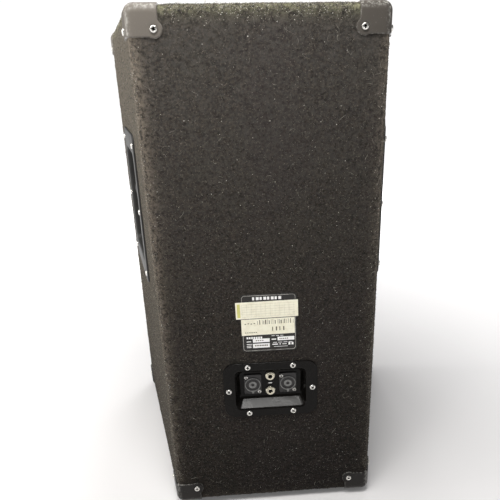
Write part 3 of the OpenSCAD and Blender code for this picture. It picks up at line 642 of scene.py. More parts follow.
def wood_look(name, pale, dark, grain_turn=(0, 0, 0)):
    """Plywood: long grain, darker pores and thin plies across the thickness."""
    look = Look(name, Specular_IOR_Level=0.3)
    along = look.stretched((1, 1, 0.08), grain_turn)
    grain = look.noise(0.006, 5.0, 0.65, place=along, distortion=1.2)
    pores = look.noise(0.0012, 2.0, place=along)
    plies = look.bands(0.0028, "Y", 0.6)
    colour = look.mix(look.span(grain, 0.35, 0.65), pale, dark)
    colour = look.mix(look.span(pores, 0.6, 0.72, 0, 0.5), colour, dark)
    colour = look.mix(look.span(plies, 0.75, 0.95, 0, 0.35), colour, dark)
    return look.finish(colour, 0.65, look.bump(grain, 0.0003, 0.5))


def paper_look(name, pale, dark, blot, size=0.006):
    look = Look(name, Specular_IOR_Level=0.25)
    fibres = look.noise(0.0007, 3.0, 0.6)
    stains = look.noise(size, 4.0, 0.6)
    colour = look.mix(look.span(stains, 0.4, 0.68), pale, dark)
    colour = look.mix(look.span(stains, 0.66, 0.76, 0, 0.5), colour, blot)
    return look.finish(colour, 0.75, look.bump(fibres, 0.00008, 0.5))


def winding_look(name, pale, dark, pitch=0.0008, direction="Y"):
    """Enamelled copper wire wound in even turns."""
    look = Look(name, metallic=0.85)
    turns = look.bands(pitch, direction)
    colour = look.mix(look.span(turns, 0.1, 0.8), dark, pale)
    return look.finish(colour, look.span(turns, 0, 1, 0.45, 0.25), look.bump(turns, 0.0003, 0.7))


def weave_look(name, pale, dark, pitch=0.0009, rough=0.85):
    """Impregnated cloth with threads both ways."""
    look = Look(name, Sheen_Weight=0.1)
    warp = look.bands(pitch, "X", 0.3)
    weft = look.bands(pitch, "Z", 0.3)
    threads = look.math("MULTIPLY", warp, weft)
    stains = look.noise(0.02, 3.0)
    colour = look.mix(look.span(threads, 0.1, 0.7), dark, pale)
    colour = look.mix(look.span(stains, 0.4, 0.7, 0, 0.3), colour, dark)
    return look.finish(colour, rough, look.bump(threads, 0.0003, 0.6))


LOOKS = {"carpet": carpet_look(), "socket_ring": socket_ring_look()}


def add_looks(recipe, **rows):
    """One look a row, each with the values that its recipe takes after the name."""
    for name, values in rows.items():
        LOOKS[name] = recipe(name, *values)


add_looks(
    plastic_look,
    # Its last value is painted light: the upper guards, and those towards +X, are painted paler.
    guard_plastic=(
        (0.016, 0.014, 0.012), (0.009, 0.008, 0.007), 0.33, 0.0009, 0.9, (0.42, 0.41, 0.38), 0.2, 0.85
    ),
    handle_plastic=((0.030, 0.029, 0.027), (0.018, 0.017, 0.016), 0.5),
    grip_rubber=((0.020, 0.019, 0.018), (0.011, 0.011, 0.010), 0.62, 0.0009, 0.2),
    dish_plastic=(
        (0.0050, 0.0042, 0.0036), (0.0030, 0.0026, 0.0022), 0.20, 0.0014, 0.3, SCUFF, 0.12
    ),
    socket_plastic=((0.020, 0.018, 0.018), (0.011, 0.010, 0.010), 0.28, 0.0007, 0.3),
    port_plastic=((0.022, 0.022, 0.022), (0.012, 0.012, 0.012), 0.45),
    horn_plastic=((0.018, 0.018, 0.018), (0.010, 0.010, 0.010), 0.42),
    cover_plastic=((0.02, 0.02, 0.02), (0.01, 0.01, 0.01), 0.4),
    foot_rubber=((0.016, 0.016, 0.015), (0.009, 0.009, 0.009), 0.8, 0.0008, 0.3, (0.1, 0.095, 0.09)),
    label_film=((0.011, 0.009, 0.007), (0.006, 0.005, 0.004), 0.3, 0.0008, 0.3),
    capacitor_plastic=((0.05, 0.08, 0.18), (0.03, 0.05, 0.12), 0.35),
    wire_pvc=((0.35, 0.04, 0.03), (0.22, 0.02, 0.02), 0.4),
)
add_looks(
    metal_look,
    zinc_screw=((0.86, 0.85, 0.82), (0.60, 0.58, 0.54), 0.24),
    black_screw=((0.10, 0.10, 0.10), (0.04, 0.04, 0.04), 0.4),
    jack_nickel=((0.84, 0.80, 0.66), (0.56, 0.52, 0.42), 0.2),
    contact_brass=((0.78, 0.60, 0.27), (0.45, 0.32, 0.13), 0.3),
    grille_steel=((0.022, 0.022, 0.022), (0.012, 0.012, 0.012), 0.45, 0.01, 0.0),
    basket_steel=((0.025, 0.025, 0.026), (0.014, 0.014, 0.014), 0.5, 0.012, 0.2),
    plate_steel=((0.50, 0.50, 0.50), (0.30, 0.29, 0.28), 0.35),
    pole_cup_steel=((0.03, 0.03, 0.03), (0.015, 0.015, 0.015), 0.4, 0.008, 0.3),
    ferrite=((0.06, 0.06, 0.065), (0.03, 0.03, 0.032), 0.55, 0.001, 0.1),
    diaphragm_foil=((0.80, 0.79, 0.76), (0.62, 0.60, 0.56), 0.3),
)
add_looks(
    wood_look,
    plywood=((0.55, 0.38, 0.22), (0.33, 0.20, 0.10)),
    baffle_wood=((0.022, 0.020, 0.018), (0.010, 0.009, 0.008)),
)
add_looks(
    paper_look,
    tag_paper=((0.88, 0.85, 0.70), (0.80, 0.76, 0.60), (0.62, 0.58, 0.42)),
    gasket_card=((0.030, 0.028, 0.026), (0.018, 0.017, 0.016), (0.06, 0.05, 0.05)),
    cone_paper=((0.030, 0.029, 0.028), (0.018, 0.018, 0.017), (0.05, 0.05, 0.045), 0.012),
    wadding_fibre=((0.62, 0.60, 0.54), (0.48, 0.46, 0.40), (0.38, 0.36, 0.30), 0.01),
    print_pale=((0.92, 0.91, 0.90), (0.84, 0.83, 0.82), (0.7, 0.69, 0.67)),
    print_dark=((0.09, 0.075, 0.05), (0.15, 0.13, 0.09), (0.2, 0.18, 0.13)),
    print_yellow=((0.66, 0.64, 0.22), (0.58, 0.55, 0.2), (0.5, 0.46, 0.2)),
    print_faint=((0.60, 0.58, 0.46), (0.50, 0.48, 0.38), (0.5, 0.5, 0.4)),
    outline_grey=((0.62, 0.60, 0.56), (0.10, 0.09, 0.08), (0.05, 0.05, 0.04), 0.02),
)
add_looks(winding_look, coil_copper=((0.72, 0.36, 0.16), (0.30, 0.12, 0.05)))
add_looks(
    weave_look,
    surround_cloth=((0.030, 0.029, 0.027), (0.012, 0.012, 0.011)),
    spider_cloth=((0.46, 0.33, 0.10), (0.25, 0.16, 0.05)),
    board_laminate=((0.13, 0.17, 0.06), (0.07, 0.10, 0.03), 0.0006, 0.5),
)
add_looks(
    fibre_look,
    lint=((0.85, 0.83, 0.76), (0.50, 0.47, 0.40)),
    dust_hair=((0.42, 0.40, 0.34), (0.20, 0.18, 0.15)),
    loose_pile=((0.26, 0.225, 0.18), (0.006, 0.005, 0.004), 0.0022),
)


# ---- Camera, light and stage ----

CAMERA_PLACE = (0.02717, 0.79451, 0.64367)
CAMERA_TURN = (70.553, 1.133, 175.840)


def make_camera():
    data = bpy.data.cameras.new("camera")
    data.lens = 34.967
    data.sensor_width = 36
    data.shift_x = -0.05356
    data.shift_y = 0.00341
    data.clip_start = 0.01
    made = bpy.data.objects.new("camera", data)
    made.location = CAMERA_PLACE
    made.rotation_euler = [math.radians(a) for a in CAMERA_TURN]
    bpy.context.scene.collection.objects.link(made)
    bpy.context.scene.camera = made


def softbox(name, place, target, size, power, colour=(1, 1, 1)):
    data = bpy.data.lights.new(name, "AREA")
    data.shape = "RECTANGLE"
    data.size, data.size_y = size
    data.energy = power
    data.color = colour
    made = bpy.data.objects.new(name, data)
    made.location = place
    aim = Vector(target) - Vector(place)
    made.rotation_euler = aim.to_track_quat("-Z", "Y").to_euler()
    bpy.context.scene.collection.objects.link(made)


def make_world(ambient):
    """A white surround that lights the cabinet less strongly than it shows."""
    world = bpy.data.worlds.new("studio")
    world.use_nodes = True
    tree = world.node_tree
    shade = tree.nodes["Background"]
    shade.inputs["Color"].default_value = (1.0, 0.995, 0.99, 1)
    path = tree.nodes.new("ShaderNodeLightPath")
    strength = tree.nodes.new("ShaderNodeMapRange")
    strength.inputs["To Min"].default_value = ambient
    strength.inputs["To Max"].default_value = 1.05
    tree.links.new(path.outputs["Is Camera Ray"], strength.inputs["Value"])
    tree.links.new(strength.outputs["Result"], shade.inputs["Strength"])
    bpy.context.scene.world = world


def make_floor():
    """A pale studio floor with painted light: its emission glows faintly near the cabinet and to white
    further away.
    """
    look = Look("studio_floor", Specular_IOR_Level=0.1)
    tone = look.noise(0.5, 2.0)
    colour = look.mix(look.span(tone, 0.4, 0.6), (0.76, 0.75, 0.755), (0.73, 0.72, 0.725))
    LOOKS["studio_floor"] = look.finish(colour, 0.8)
    # Painted light: the floor's emission grows with distance from the origin, under the cabinet.
    flat = look.node("ShaderNodeVectorMath", {0: look.place}, operation="LENGTH").outputs["Value"]
    look.set(look.shader.inputs["Emission Strength"], look.span(flat, 0.30, 1.9, 0.10, 1.0))
    look.set(look.shader.inputs["Emission Color"], (1.0, 0.995, 0.995))
    profile = [(0.01, 0.0), (0.6, 0.0), (2.5, 0.0), (60.0, 0.0), (60.0, -0.02), (0.01, -0.02)]
    piece("studio_floor", [revolve(profile, 96)], "studio_floor", body=None)


make_camera()
make_world(0.17)
make_floor()
softbox("key", (0.70, 0.62, 1.32), (0.02, 0.16, 0.62), (0.6, 0.5), 5.0, (1.0, 0.985, 0.955))
softbox("rear_top", (0.05, 0.53, 1.42), (0.0, 0.40, 0.0), (0.38, 0.30), 10.5, (1.0, 0.985, 0.96))
softbox("overhead", (0.35, -0.2, 1.9), (0, 0.0, 0.5), (1.2, 1.0), 8, (1.0, 0.99, 0.97))
softbox("side_fill", (1.9, -0.1, 1.0), (0.2, 0, 0.5), (1.0, 1.2), 19, (1.0, 0.985, 0.95))
softbox("front_fill", (-0.6, -2.2, 1.2), (0, 0, 0.4), (1.5, 1.5), 30)
bpy.context.scene.view_settings.view_transform = "Standard"


# ---- Carpet ----

def stepped(low, high, pitch, zone, zone_steps=5):
    """Positions from low to high, closer together within a zone at both ends."""
    inner = max(int(round((high - low - 2 * zone) / pitch)), 1)
    near = np.linspace(low, low + zone, zone_steps + 1)
    middle = np.linspace(low + zone, high - zone, inner + 1)
    return np.concatenate([near[:-1], middle, np.linspace(high - zone, high, zone_steps + 1)[1:]])


ACROSS = stepped(-1, 1, 2 * 0.0024 / (2 * REAR_HALF), EDGE_R / REAR_HALF)
UP = stepped(BOTTOM, TOP, 0.0024, EDGE_R)
ALONG = stepped(FRONT_Y, REAR_Y, 0.0029, EDGE_R)


def pile(points):
    """How far the pile stands at each point: matted clumps, never much above the CAD face."""
    rise = lattice_noise(points, 0.0036, 1) * 0.00040 + lattice_noise(points, 0.011, 2) * 0.00018
    rise += lattice_noise(points, 0.045, 3) * 0.00015
    return np.minimum(rise - 0.00030, 0.0002)


def inside_rect(points, size, margin, middle):
    """Which points lie in a rectangle of that size, grown by margin, about a frame's origin."""
    local = (points - middle.translation) @ np.array(middle.to_3x3())
    return (abs(local[:, 0]) < (size[0] + margin) / 2) & (abs(local[:, 1]) < (size[1] + margin) / 2)


def carpet_face(name, first, second, sharp_point, hole=None):
    """One face's carpet from two lists of positions; hole says which middles are cut out."""
    a, b = np.meshgrid(first, second, indexing="ij")
    sharp_points = sharp_point(a.ravel(), b.ravel())
    points, normals, edge = wrapped(sharp_points)
    edge = np.maximum(edge, edge_band(sharp_points))
    quads = grid_quads(len(first), len(second))
    if hole is not None:
        middles = points[quads].mean(axis=1)
        quads = quads[~hole(middles)]
    rise = pile(points)
    outer = points + normals * rise[:, None]
    inner = points - normals * CARPET_T
    both_edges = np.tile(edge[np.unique(quads)], 2)
    made = piece(name, [closed_sheet(outer, inner, quads)], "carpet", edge=both_edges, sharp=60)
    first_line = points[quads[:, 2]] - points[quads[:, 0]]
    second_line = points[quads[:, 3]] - points[quads[:, 1]]
    return made, np.linalg.norm(np.cross(first_line, second_line), axis=1).sum() / 2


def edge_band(points):
    """How near flat carpet lies to the edges: up to 0.6 beside the rounding on the +X half and along the top,
    0.2 elsewhere, less further in.
    """
    side_gap = (half_width(points[:, 1]) - np.abs(points[:, 0])) * math.cos(FLARE)
    y, z = points[:, 1], points[:, 2]
    gaps = [side_gap, REAR_Y - y, y - FRONT_Y, TOP - z, z - BOTTOM]
    second = np.sort(np.array(gaps), axis=0)[1]
    band_strength = np.where((points[:, 0] > 0) | (TOP - z < 0.03), 0.6, 0.2)
    return band_strength * np.exp(-np.clip(second - 0.006, 0, 1) / 0.006)


def rear_point(s, z):
    """Points of the rear face, with s from -1 to 1 across it."""
    return np.column_stack([s * REAR_HALF, np.full(len(s), REAR_Y), z])


def side_point(side):
    def place(y, z):
        return np.column_stack([side * half_width(y), y, z])
    return place


def end_point(level):
    def place(s, y):
        return np.column_stack([s * half_width(y), y, np.full(len(s), level)])
    return place


def dish_hole(points):
    """Which points the dish's recess cuts out of the rear carpet."""
    return inside_rect(points, DISH_MOUTH, 0.009, on_rear(0, DISH_V))


def handle_hole(side):
    def inside(points):
        return inside_rect(points, HANDLE_CUP, 0.004, on_side(side, 0, HANDLE_V))
    return inside


def pole_hole(points):
    return np.hypot(points[:, 0], points[:, 1] - POLE_Y) < POLE_R + 0.006


def front_carpet():
    """The carpet on the front edges, folded over them and down to the baffle."""
    lines = [
        [(s, -1) for s in ACROSS[:-1]],
        [(1, z) for z in (UP[:-1] - BOTTOM) / HEIGHT * 2 - 1],
        [(-s, 1) for s in ACROSS[:-1]],
        [(-1, -z) for z in (UP[:-1] - BOTTOM) / HEIGHT * 2 - 1],
    ]
    around = np.array([spot for line in lines for spot in line])
    fold = rounded_path([(0.0, 0.0, 0), (RECESS_IN, 0.0, FOLD_R), (RECESS_IN, RECESS_DEPTH, 0)], 5)
    edge_zone = [(d, 0.0) for d in np.linspace(0, EDGE_R, 6)]
    flat_zone = [(d, 0.0) for d in np.linspace(EDGE_R, RECESS_IN - FOLD_R, 5)[1:-1]]
    wall_zone = [(RECESS_IN, d) for d in np.linspace(FOLD_R, RECESS_DEPTH, 9)[1:]]
    profile = edge_zone + flat_zone + [tuple(p) for p in fold[1:-1]] + wall_zone
    outer, inner, edges = [], [], []
    for inwards, deep in profile:
        y = FRONT_Y + deep
        wide = half_width(y, inwards)
        tall = HEIGHT / 2 - inwards
        flat = np.column_stack([
            around[:, 0] * wide, np.full(len(around), y), (BOTTOM + TOP) / 2 + around[:, 1] * tall
        ])
        if inwards <= EDGE_R:
            points, normals, edge = wrapped(flat)
        else:
            points, edge = flat, np.zeros(len(flat))
            middle = np.array([0, FRONT_Y + 0.1, (BOTTOM + TOP) / 2])
            away = middle - flat
            away[:, 1] = 0
            square = np.where(
                abs(around[:, :1]) > abs(around[:, 1:]),
                np.column_stack([away[:, 0], away[:, 1], away[:, 1]]),
                np.column_stack([away[:, 1], away[:, 1], away[:, 2]]),
            )
            turn = np.clip((inwards - (RECESS_IN - FOLD_R)) / FOLD_R, 0, 1) * (1 if deep > 0 else 0.5)
            ahead = np.array([0, -1.0, 0])
            normals = unit(ahead * (1 - turn) + unit(square) * turn)
        rise = pile(points)
        outer.append(points + normals * rise[:, None])
        inner.append(points - normals * CARPET_T)
        edges.append(edge)
    quads = grid_quads(len(profile), len(around), True)
    shell = closed_sheet(np.concatenate(outer), np.concatenate(inner), quads)
    both_edges = np.concatenate([*edges, *edges])
    made = piece("carpet_front", [shell], "carpet", edge=both_edges, sharp=60)
    perimeter = 2 * (2 * FRONT_HALF + HEIGHT) - 4 * RECESS_IN
    return made, perimeter * (RECESS_IN + RECESS_DEPTH - FOLD_R / 2)


REAR_FLAT = (2 * REAR_HALF, HEIGHT)
SIDE_FLAT = (SIDE_LEN, HEIGHT)
END_FLAT = (2 * FRONT_HALF, DEPTH)
FRONT_FLAT = (2 * FRONT_HALF, HEIGHT)
carpets = [
    (*carpet_face("carpet_rear", ACROSS, UP, rear_point, dish_hole), REAR_FLAT, "panel_rear"),
    (*carpet_face("carpet_left", ALONG, UP, side_point(-1), handle_hole(-1)), SIDE_FLAT, "panel_left"),
    (*carpet_face("carpet_right", ALONG, UP, side_point(1), handle_hole(1)), SIDE_FLAT, "panel_right"),
    (*carpet_face("carpet_top", ACROSS, ALONG, end_point(TOP)), END_FLAT, "panel_top"),
    (*carpet_face("carpet_bottom", ACROSS, ALONG, end_point(BOTTOM), pole_hole), END_FLAT, "panel_bottom"),
    (*front_carpet(), FRONT_FLAT, "front_baffle"),
]
for cloth, area, flat, panel in carpets:
    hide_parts("carpet_covering")


# ---- Lint, hairs and loose pile on the carpet ----

def random_spots(face, count, edge_share=0.0):
    """Random points on a face of the sharp prism, part of them near its edges."""
    s = rng.uniform(-1, 1, count)
    t = rng.uniform(-1, 1, count)
    near = rng.random(count) < edge_share
    squeeze = np.sign(s) * (1 - np.abs(rng.normal(0, 0.03, count)))
    s = np.where(near, np.clip(squeeze, -1, 1), s)
    z = BOTTOM + (t + 1) / 2 * HEIGHT
    y = MID_Y + s * DEPTH / 2
    if face == "rear":
        return rear_point(s, z)
    if face in ("left", "right"):
        return side_point(1 if face == "right" else -1)(y, z)
    return end_point(TOP)(s, MID_Y + t * DEPTH / 2)


def top_edge_spots(count):
    """Points on the rear face's top edge, where most lint catches."""
    s = rng.uniform(-0.78, 0.78, count)
    drop = np.abs(rng.normal(0, 0.009, count))
    points = rear_point(s, TOP - drop)
    over = rng.random(count) < 0.45
    points[over, 1] = REAR_Y - np.abs(rng.normal(0, 0.009, over.sum()))
    points[over, 2] = TOP
    return points


def clear_of_fittings(points):
    """Which points lie on open carpet, away from the plates, the label and the protectors."""
    blocked = inside_rect(points, DISH_PLATE, 0.004, on_rear(0, DISH_V))
    blocked |= inside_rect(points, (0.094, 0.094), 0, on_rear(-0.001, LABEL_V))
    blocked &= points[:, 1] > REAR_Y - 0.012
    for side in (-1, 1):
        near = inside_rect(points, HANDLE_PLATE, 0.006, on_side(side, 0, HANDLE_V))
        blocked |= near & (points[:, 0] * side > 0) & (abs(points[:, 2] - TOP) > 0.02)
    to_side = half_width(points[:, 1]) - np.abs(points[:, 0])
    to_end = np.minimum(points[:, 2] - BOTTOM, TOP - points[:, 2])
    to_face = np.minimum(REAR_Y - points[:, 1], points[:, 1] - FRONT_Y)
    reach = GUARD_LEG + 0.0075
    blocked |= (to_side < reach) & (to_end < reach) & (to_face < reach)
    return ~blocked


def tangents(normals):
    """Two directions along the surface at each point, turned at random."""
    turn = rng.uniform(0, math.tau, len(normals))
    helper = np.where(np.abs(normals[:, 2:]) < 0.9, [[0, 0, 1.0]], [[0, 1.0, 0]])
    first = unit(np.cross(normals, helper))
    second = np.cross(normals, first)
    along = first * np.cos(turn)[:, None] + second * np.sin(turn)[:, None]
    return along, np.cross(normals, along)


def fibres(spots, length, radius, steps, lift, curl):
    """Curved three-sided threads lying on the carpet, as one pair of points and quads."""
    points, normals, _ = wrapped(spots)
    base = points + normals * pile(points)[:, None]
    along, across = tangents(normals)
    count = len(spots)
    size = rng.uniform(length[0], length[1], count)
    bend = rng.normal(0, curl, count)
    wobble = rng.normal(0, curl * 0.7, count)
    thick = radius * rng.uniform(0.7, 1.3, count)
    height = lift * rng.uniform(0.3, 1.0, count)
    rings, heading = [], np.zeros(count)
    here = base + normals * 0.0001
    for step in range(steps + 1):
        share = step / steps
        heading = heading + (bend + wobble * math.sin(share * 9.0)) / steps
        forward = along * np.cos(heading)[:, None] + across * np.sin(heading)[:, None]
        sideways = across * np.cos(heading)[:, None] - along * np.sin(heading)[:, None]
        if step:
            here = here + forward * (size / steps)[:, None]
        rise = normals * (height * math.sin(share * math.pi))[:, None]
        taper = 1.0 if 0 < step < steps else 0.45
        for k in range(3):
            turn = math.tau * k / 3
            shift = sideways * (thick * taper * math.cos(turn))[:, None]
            shift += normals * (thick * taper * math.sin(turn))[:, None]
            rings.append(here + rise + shift)
    stacked = np.stack(rings, axis=1)
    quads = grid_quads(steps + 1, 3, True)
    last = 3 * steps
    caps = np.array([(0, 2, 1), (last, last + 1, last + 2)])
    return repeated(stacked, [quads, caps])


def specks(spots, size):
    """Small uneven flakes, as eight-sided lumps pressed into the pile."""
    points, normals, _ = wrapped(spots)
    base = points + normals * (pile(points) + 0.0001)[:, None]
    along, across = tangents(normals)
    count = len(spots)
    long = rng.uniform(size[0], size[1], count)
    wide = long * rng.uniform(0.4, 0.9, count)
    high = long * rng.uniform(0.2, 0.45, count)
    corners = []
    for axis, reach in ((along, long), (across, wide)):
        for sign in (1, -1):
            shift = rng.uniform(0.7, 1.2, count)
            corners.append(base + axis * (sign * reach * shift)[:, None])
    corners.append(base + normals * high[:, None])
    corners.append(base - normals * high[:, None])
    stacked = np.stack(corners, axis=1)
    ring = (0, 2, 1, 3)
    faces = []
    for k in range(4):
        here, ahead = ring[k], ring[(k + 1) % 4]
        faces += [(here, ahead, 4), (ahead, here, 5)]
    return repeated(stacked, [np.array(faces)])


def open_spots(face, count, edge_share=0.0):
    """Random points on a face, without those that lie on a fitting."""
    points = random_spots(face, count, edge_share) if face != "top_edge" else top_edge_spots(count)
    return points[clear_of_fittings(points)]


for face, flakes, hairs, tufts, edges in (
    ("rear", 800, 190, 14000, 0.30), ("left", 420, 60, 9000, 0.35), ("right", 900, 80, 9000, 0.5),
    ("top", 420, 60, 8000, 0.2), ("top_edge", 900, 110, 2500, 0),
):
    flake = specks(open_spots(face, flakes, edges), (0.00022, 0.00080))
    piece(f"lint_{face}", [flake], "lint", sharp=180)
    hair = fibres(open_spots(face, hairs, edges), (0.003, 0.013), 0.00013, 7, 0.0004, 1.6)
    piece(f"hairs_{face}", [hair], "dust_hair", sharp=180)
    tuft = fibres(open_spots(face, tufts, 0.15), (0.0010, 0.0036), 0.00018, 2, 0.0006, 1.4)
    piece(f"pile_{face}", [tuft], "loose_pile", sharp=180)


# ---- Corner protectors ----

def guard_screws(side, end, top):
    """Where a protector's screws stand: the frames of the side, the top or bottom, and the rear."""
    v = HEIGHT - GUARD_SCREW_DROP if top else GUARD_SCREW_DROP
    y = MID_Y + end * (DEPTH / 2 - GUARD_SCREW_IN)
    spots = [
        on_side(side, end * (SIDE_LEN / 2 - GUARD_SCREW_IN), v, GUARD_T),
        on_end(top, side * (half_width(y) - GUARD_SCREW_IN), y, GUARD_T),
    ]
    if end > 0:
        spots.append(on_rear(-side * (REAR_HALF - GUARD_SCREW_IN), v, GUARD_T))
    return spots


def guard_leg(corner, first, second, inwards, ear, front_face):
    """One leg's points before they are wrapped, the rows and columns of their grid, and how far
    each lies from the leg's rim. Rays turn about the corner from one edge of the face to the other
    and end on the square leg's outline, or on the ear if that is further out. On the front face
    the leg is two narrow strips beside the recess."""
    rays, rings = 44, 34
    spread = math.acos(np.clip(first @ second, -1, 1))
    turns = np.linspace(0, spread, rays + 1)
    directions = (
        np.outer(np.sin(spread - turns), first) + np.outer(np.sin(turns), second)
    ) / math.sin(spread)
    reach = np.full(rays + 1, np.inf)
    for axis in inwards:
        pace = directions @ axis
        with np.errstate(divide="ignore"):
            reach = np.where(pace > 1e-6, np.minimum(reach, GUARD_LEG / pace), reach)
    if front_face:
        limit = RECESS_IN - 0.001
        pace_a, pace_b = directions @ inwards[0], directions @ inwards[2]
        wide = limit / math.cos(FLARE)
        pace_a, pace_b = np.maximum(pace_a, 1e-9), np.maximum(pace_b, 1e-9)
        upright = np.minimum(wide / pace_a, GUARD_LEG / pace_b)
        level = np.minimum(GUARD_LEG / pace_a, limit / pace_b)
        reach = np.maximum(upright, level)
    else:
        towards = directions @ (ear - corner)
        gap = (ear - corner) @ (ear - corner) - GUARD_EAR_R ** 2
        root = towards ** 2 - gap
        leaves = towards + np.sqrt(np.maximum(root, 0))
        reach = np.where(root > 0, np.maximum(reach, leaves), reach)
    shares = 1 - (1 - np.linspace(0, 1, rings + 1)) ** 1.25
    flat = corner + directions[None, :, :] * (shares[:, None, None] * reach[None, :, None])
    return flat.reshape(-1, 3), rings + 1, rays + 1, (1 - shares)[:, None] * reach[None, :]


def corner_guard(name, side, end, top):
    """A moulded cap of three legs, wrapped round the cabinet's corner, with an ear at each screw."""
    corner_y = REAR_Y if end > 0 else FRONT_Y
    corner = np.array([side * half_width(corner_y), corner_y, TOP if top else BOTTOM])
    into_x = np.array([-side, 0.0, 0.0])
    into_y = np.array([0.0, -end, 0.0])
    into_z = np.array([0.0, 0.0, -1.0 if top else 1.0])
    slope = np.array([-side * math.sin(FLARE), math.cos(FLARE), 0.0]) * -end
    inwards = (into_x, into_y, into_z)
    spots = [np.array(m.translation) for m in guard_screws(side, end, top)]
    legs = [(slope, into_z, spots[0], False), (into_x, slope, spots[1], False)]
    legs.append((into_x, into_z, spots[2] if end > 0 else None, end < 0))
    outer, inner, quads, edges, start = [], [], [], [], 0
    for first, second, ear, front_face in legs:
        if ear is not None:
            normal = unit(np.cross(first, second))
            ear = ear - normal * ((ear - corner) @ normal)
        flat, rows, columns, to_rim = guard_leg(corner, first, second, inwards, ear, front_face)
        rim = to_rim.ravel()
        pillow = GUARD_T * np.sqrt(np.clip(1 - (1 - np.clip(rim / GUARD_ROUND, 0, 1)) ** 2, 0.004, 1))
        if ear is not None:
            gap = np.linalg.norm(flat - ear, axis=1)
            pillow = pillow - DIMPLE_DEPTH * np.clip((DIMPLE_R - gap) / DIMPLE_SLOPE, 0, 1)
        pillow += lattice_noise(flat, 0.012, 9) * 0.00006
        raised, _, edge = wrapped(flat, pillow)
        outer.append(raised)
        inner.append(wrapped(flat, -GUARD_SINK)[0])
        edges.append(np.maximum(edge, np.clip(1 - rim / 0.0015, 0, 1) * 0.7))
        quads.append(grid_quads(rows, columns) + start)
        start += len(flat)
    shell, first = welded_sheet(np.concatenate(outer), np.concatenate(inner), np.concatenate(quads))
    edge = np.tile(np.concatenate(edges)[first], 2)
    piece(name, [shell], "guard_plastic", replaces=[name], edge=edge, sharp=50)


def welded_sheet(outer, inner, quads):
    """A closed shell from a sheet whose patches share edge points that are stored twice, and
    which of the stored points it keeps. Quads that shrink to triangles become triangles."""
    first, number = welded(np.hstack([outer, inner]), 2e-6)
    quads = number[quads]
    whole = np.all(quads != np.roll(quads, -1, axis=1), axis=1)
    triangles = []
    for quad in quads[~whole]:
        kept = [quad[k] for k in range(4) if quad[k] != quad[(k + 1) % 4]]
        if len(set(kept)) == 3:
            triangles.append(kept)
    groups = [quads[whole], np.array(triangles, int).reshape(-1, 3)]
    return doubled(outer[first], inner[first], groups), first


GUARDS = [
    (f"corner_{face}_{height}_{hand}", side, end, height == "top")
    for face, end in (("rear", 1), ("front", -1))
    for height in ("top", "bottom")
    for hand, side in (("left", -1), ("right", 1))
]
for name, side, end, top in GUARDS:
    corner_guard(name, side, end, top)


# ---- Screws ----

def screw_shell(head_r, rise, shank_r, length, turn):
    """A pan head with a cross recess on a plain shank, and how deep its points lie in the recess.
    The head stands on w = 0."""
    sides, stations = 48, 13
    angles = even_angles(sides)
    rings, hollows = [], []
    for r, w in ((shank_r * 0.2, -length), (shank_r, 2 * shank_r - length), (shank_r, 0.0), (head_r, 0.0)):
        rings.append(circle(r, w, angles))
        hollows.append(np.zeros(sides))
    for k in range(stations, 0, -1):
        r = head_r * k / stations
        dome = rise * (0.35 + 0.65 * math.sqrt(max(1 - (r / head_r) ** 2.4, 0)))
        x = np.abs(np.cos(angles + turn)) * r
        y = np.abs(np.sin(angles + turn)) * r
        arm = np.clip((head_r * 0.21 - np.minimum(x, y)) / (head_r * 0.05), 0, 1)
        hollow = np.clip((head_r * 0.62 - r) / (head_r * 0.20), 0, 1) * arm
        rings.append(circle(r, dome - rise * 0.9 * hollow, angles))
        hollows.append(hollow)
    return loft(rings), np.concatenate([*hollows, [0.0], [1.0]])


def screws(name, spots, head_r, rise, shank_r, length, look="zinc_screw"):
    """One piece with a screw at each spot, its cross turned at random."""
    shells, hollows = [], []
    for spot in spots:
        shell, hollow = screw_shell(head_r, rise, shank_r, length, rng.uniform(0, math.pi))
        shells.append(moved(shell, spot))
        hollows.append(hollow)
    hollow = np.concatenate(hollows)
    # The recess depth becomes the 'edge' attribute, which the screw looks paint as shade.
    piece(name, shells, look, replaces=[name], edge=hollow, sharp=45)


PAN = (0.0042, 0.0022, 0.002, 0.016)
guard_spots = [spot for _, side, end, top in GUARDS for spot in guard_screws(side, end, top)]
screws("corner_screws", guard_spots, *PAN)
handle_spots = [
    on_side(side, u * HANDLE_SCREW[0], HANDLE_V + v * HANDLE_SCREW[1], HANDLE_PLATE_T)
    for side in (-1, 1) for u in (-1, 1) for v in (-1, 0, 1)
]
screws("handle_screws", handle_spots, *PAN)
DISH_SCREWS = [(u, v) for v in (0.0395, -0.0395) for u in (-0.033, 0.033)] + [(-0.062, 0), (0.062, 0)]
screws("input_dish_screws", [on_rear(u, DISH_V + v, DISH_PLATE_T) for u, v in DISH_SCREWS], *PAN)
socket_spots = [
    on_rear(side * SOCKET_U + s * SOCKET_SCREW[0], DISH_V - s * SOCKET_SCREW[1], FLANGE_T - DISH_DEPTH)
    for side in (-1, 1) for s in (-1, 1)
]
screws("socket_screws", socket_spots, 0.0029, 0.0016, 0.0015, 0.010)
GRILLE_SCREW_U = FRONT_HALF - 0.040
GRILLE_SCREWS = [(side * GRILLE_SCREW_U, v) for side in (-1, 1) for v in (0.060, 0.360, 0.660)]
GRILLE_SCREWS += [(0, 0.686), (0, 0.034)]
screws("grille_screws", [on_baffle(u, v, 0.020) for u, v in GRILLE_SCREWS], *PAN, "black_screw")
base_spots = [
    on_end(False, POLE_SCREW_R * math.cos(a), POLE_Y + POLE_SCREW_R * math.sin(a), 0.003)
    for a in (math.pi / 4 + math.pi / 2 * k for k in range(4))
]
base_spots += [on_end(False, x, MID_Y + y, 0.004) for x, y in FOOT_SPOTS]
screws("base_screws", base_spots, *PAN)


# ---- Handles ----

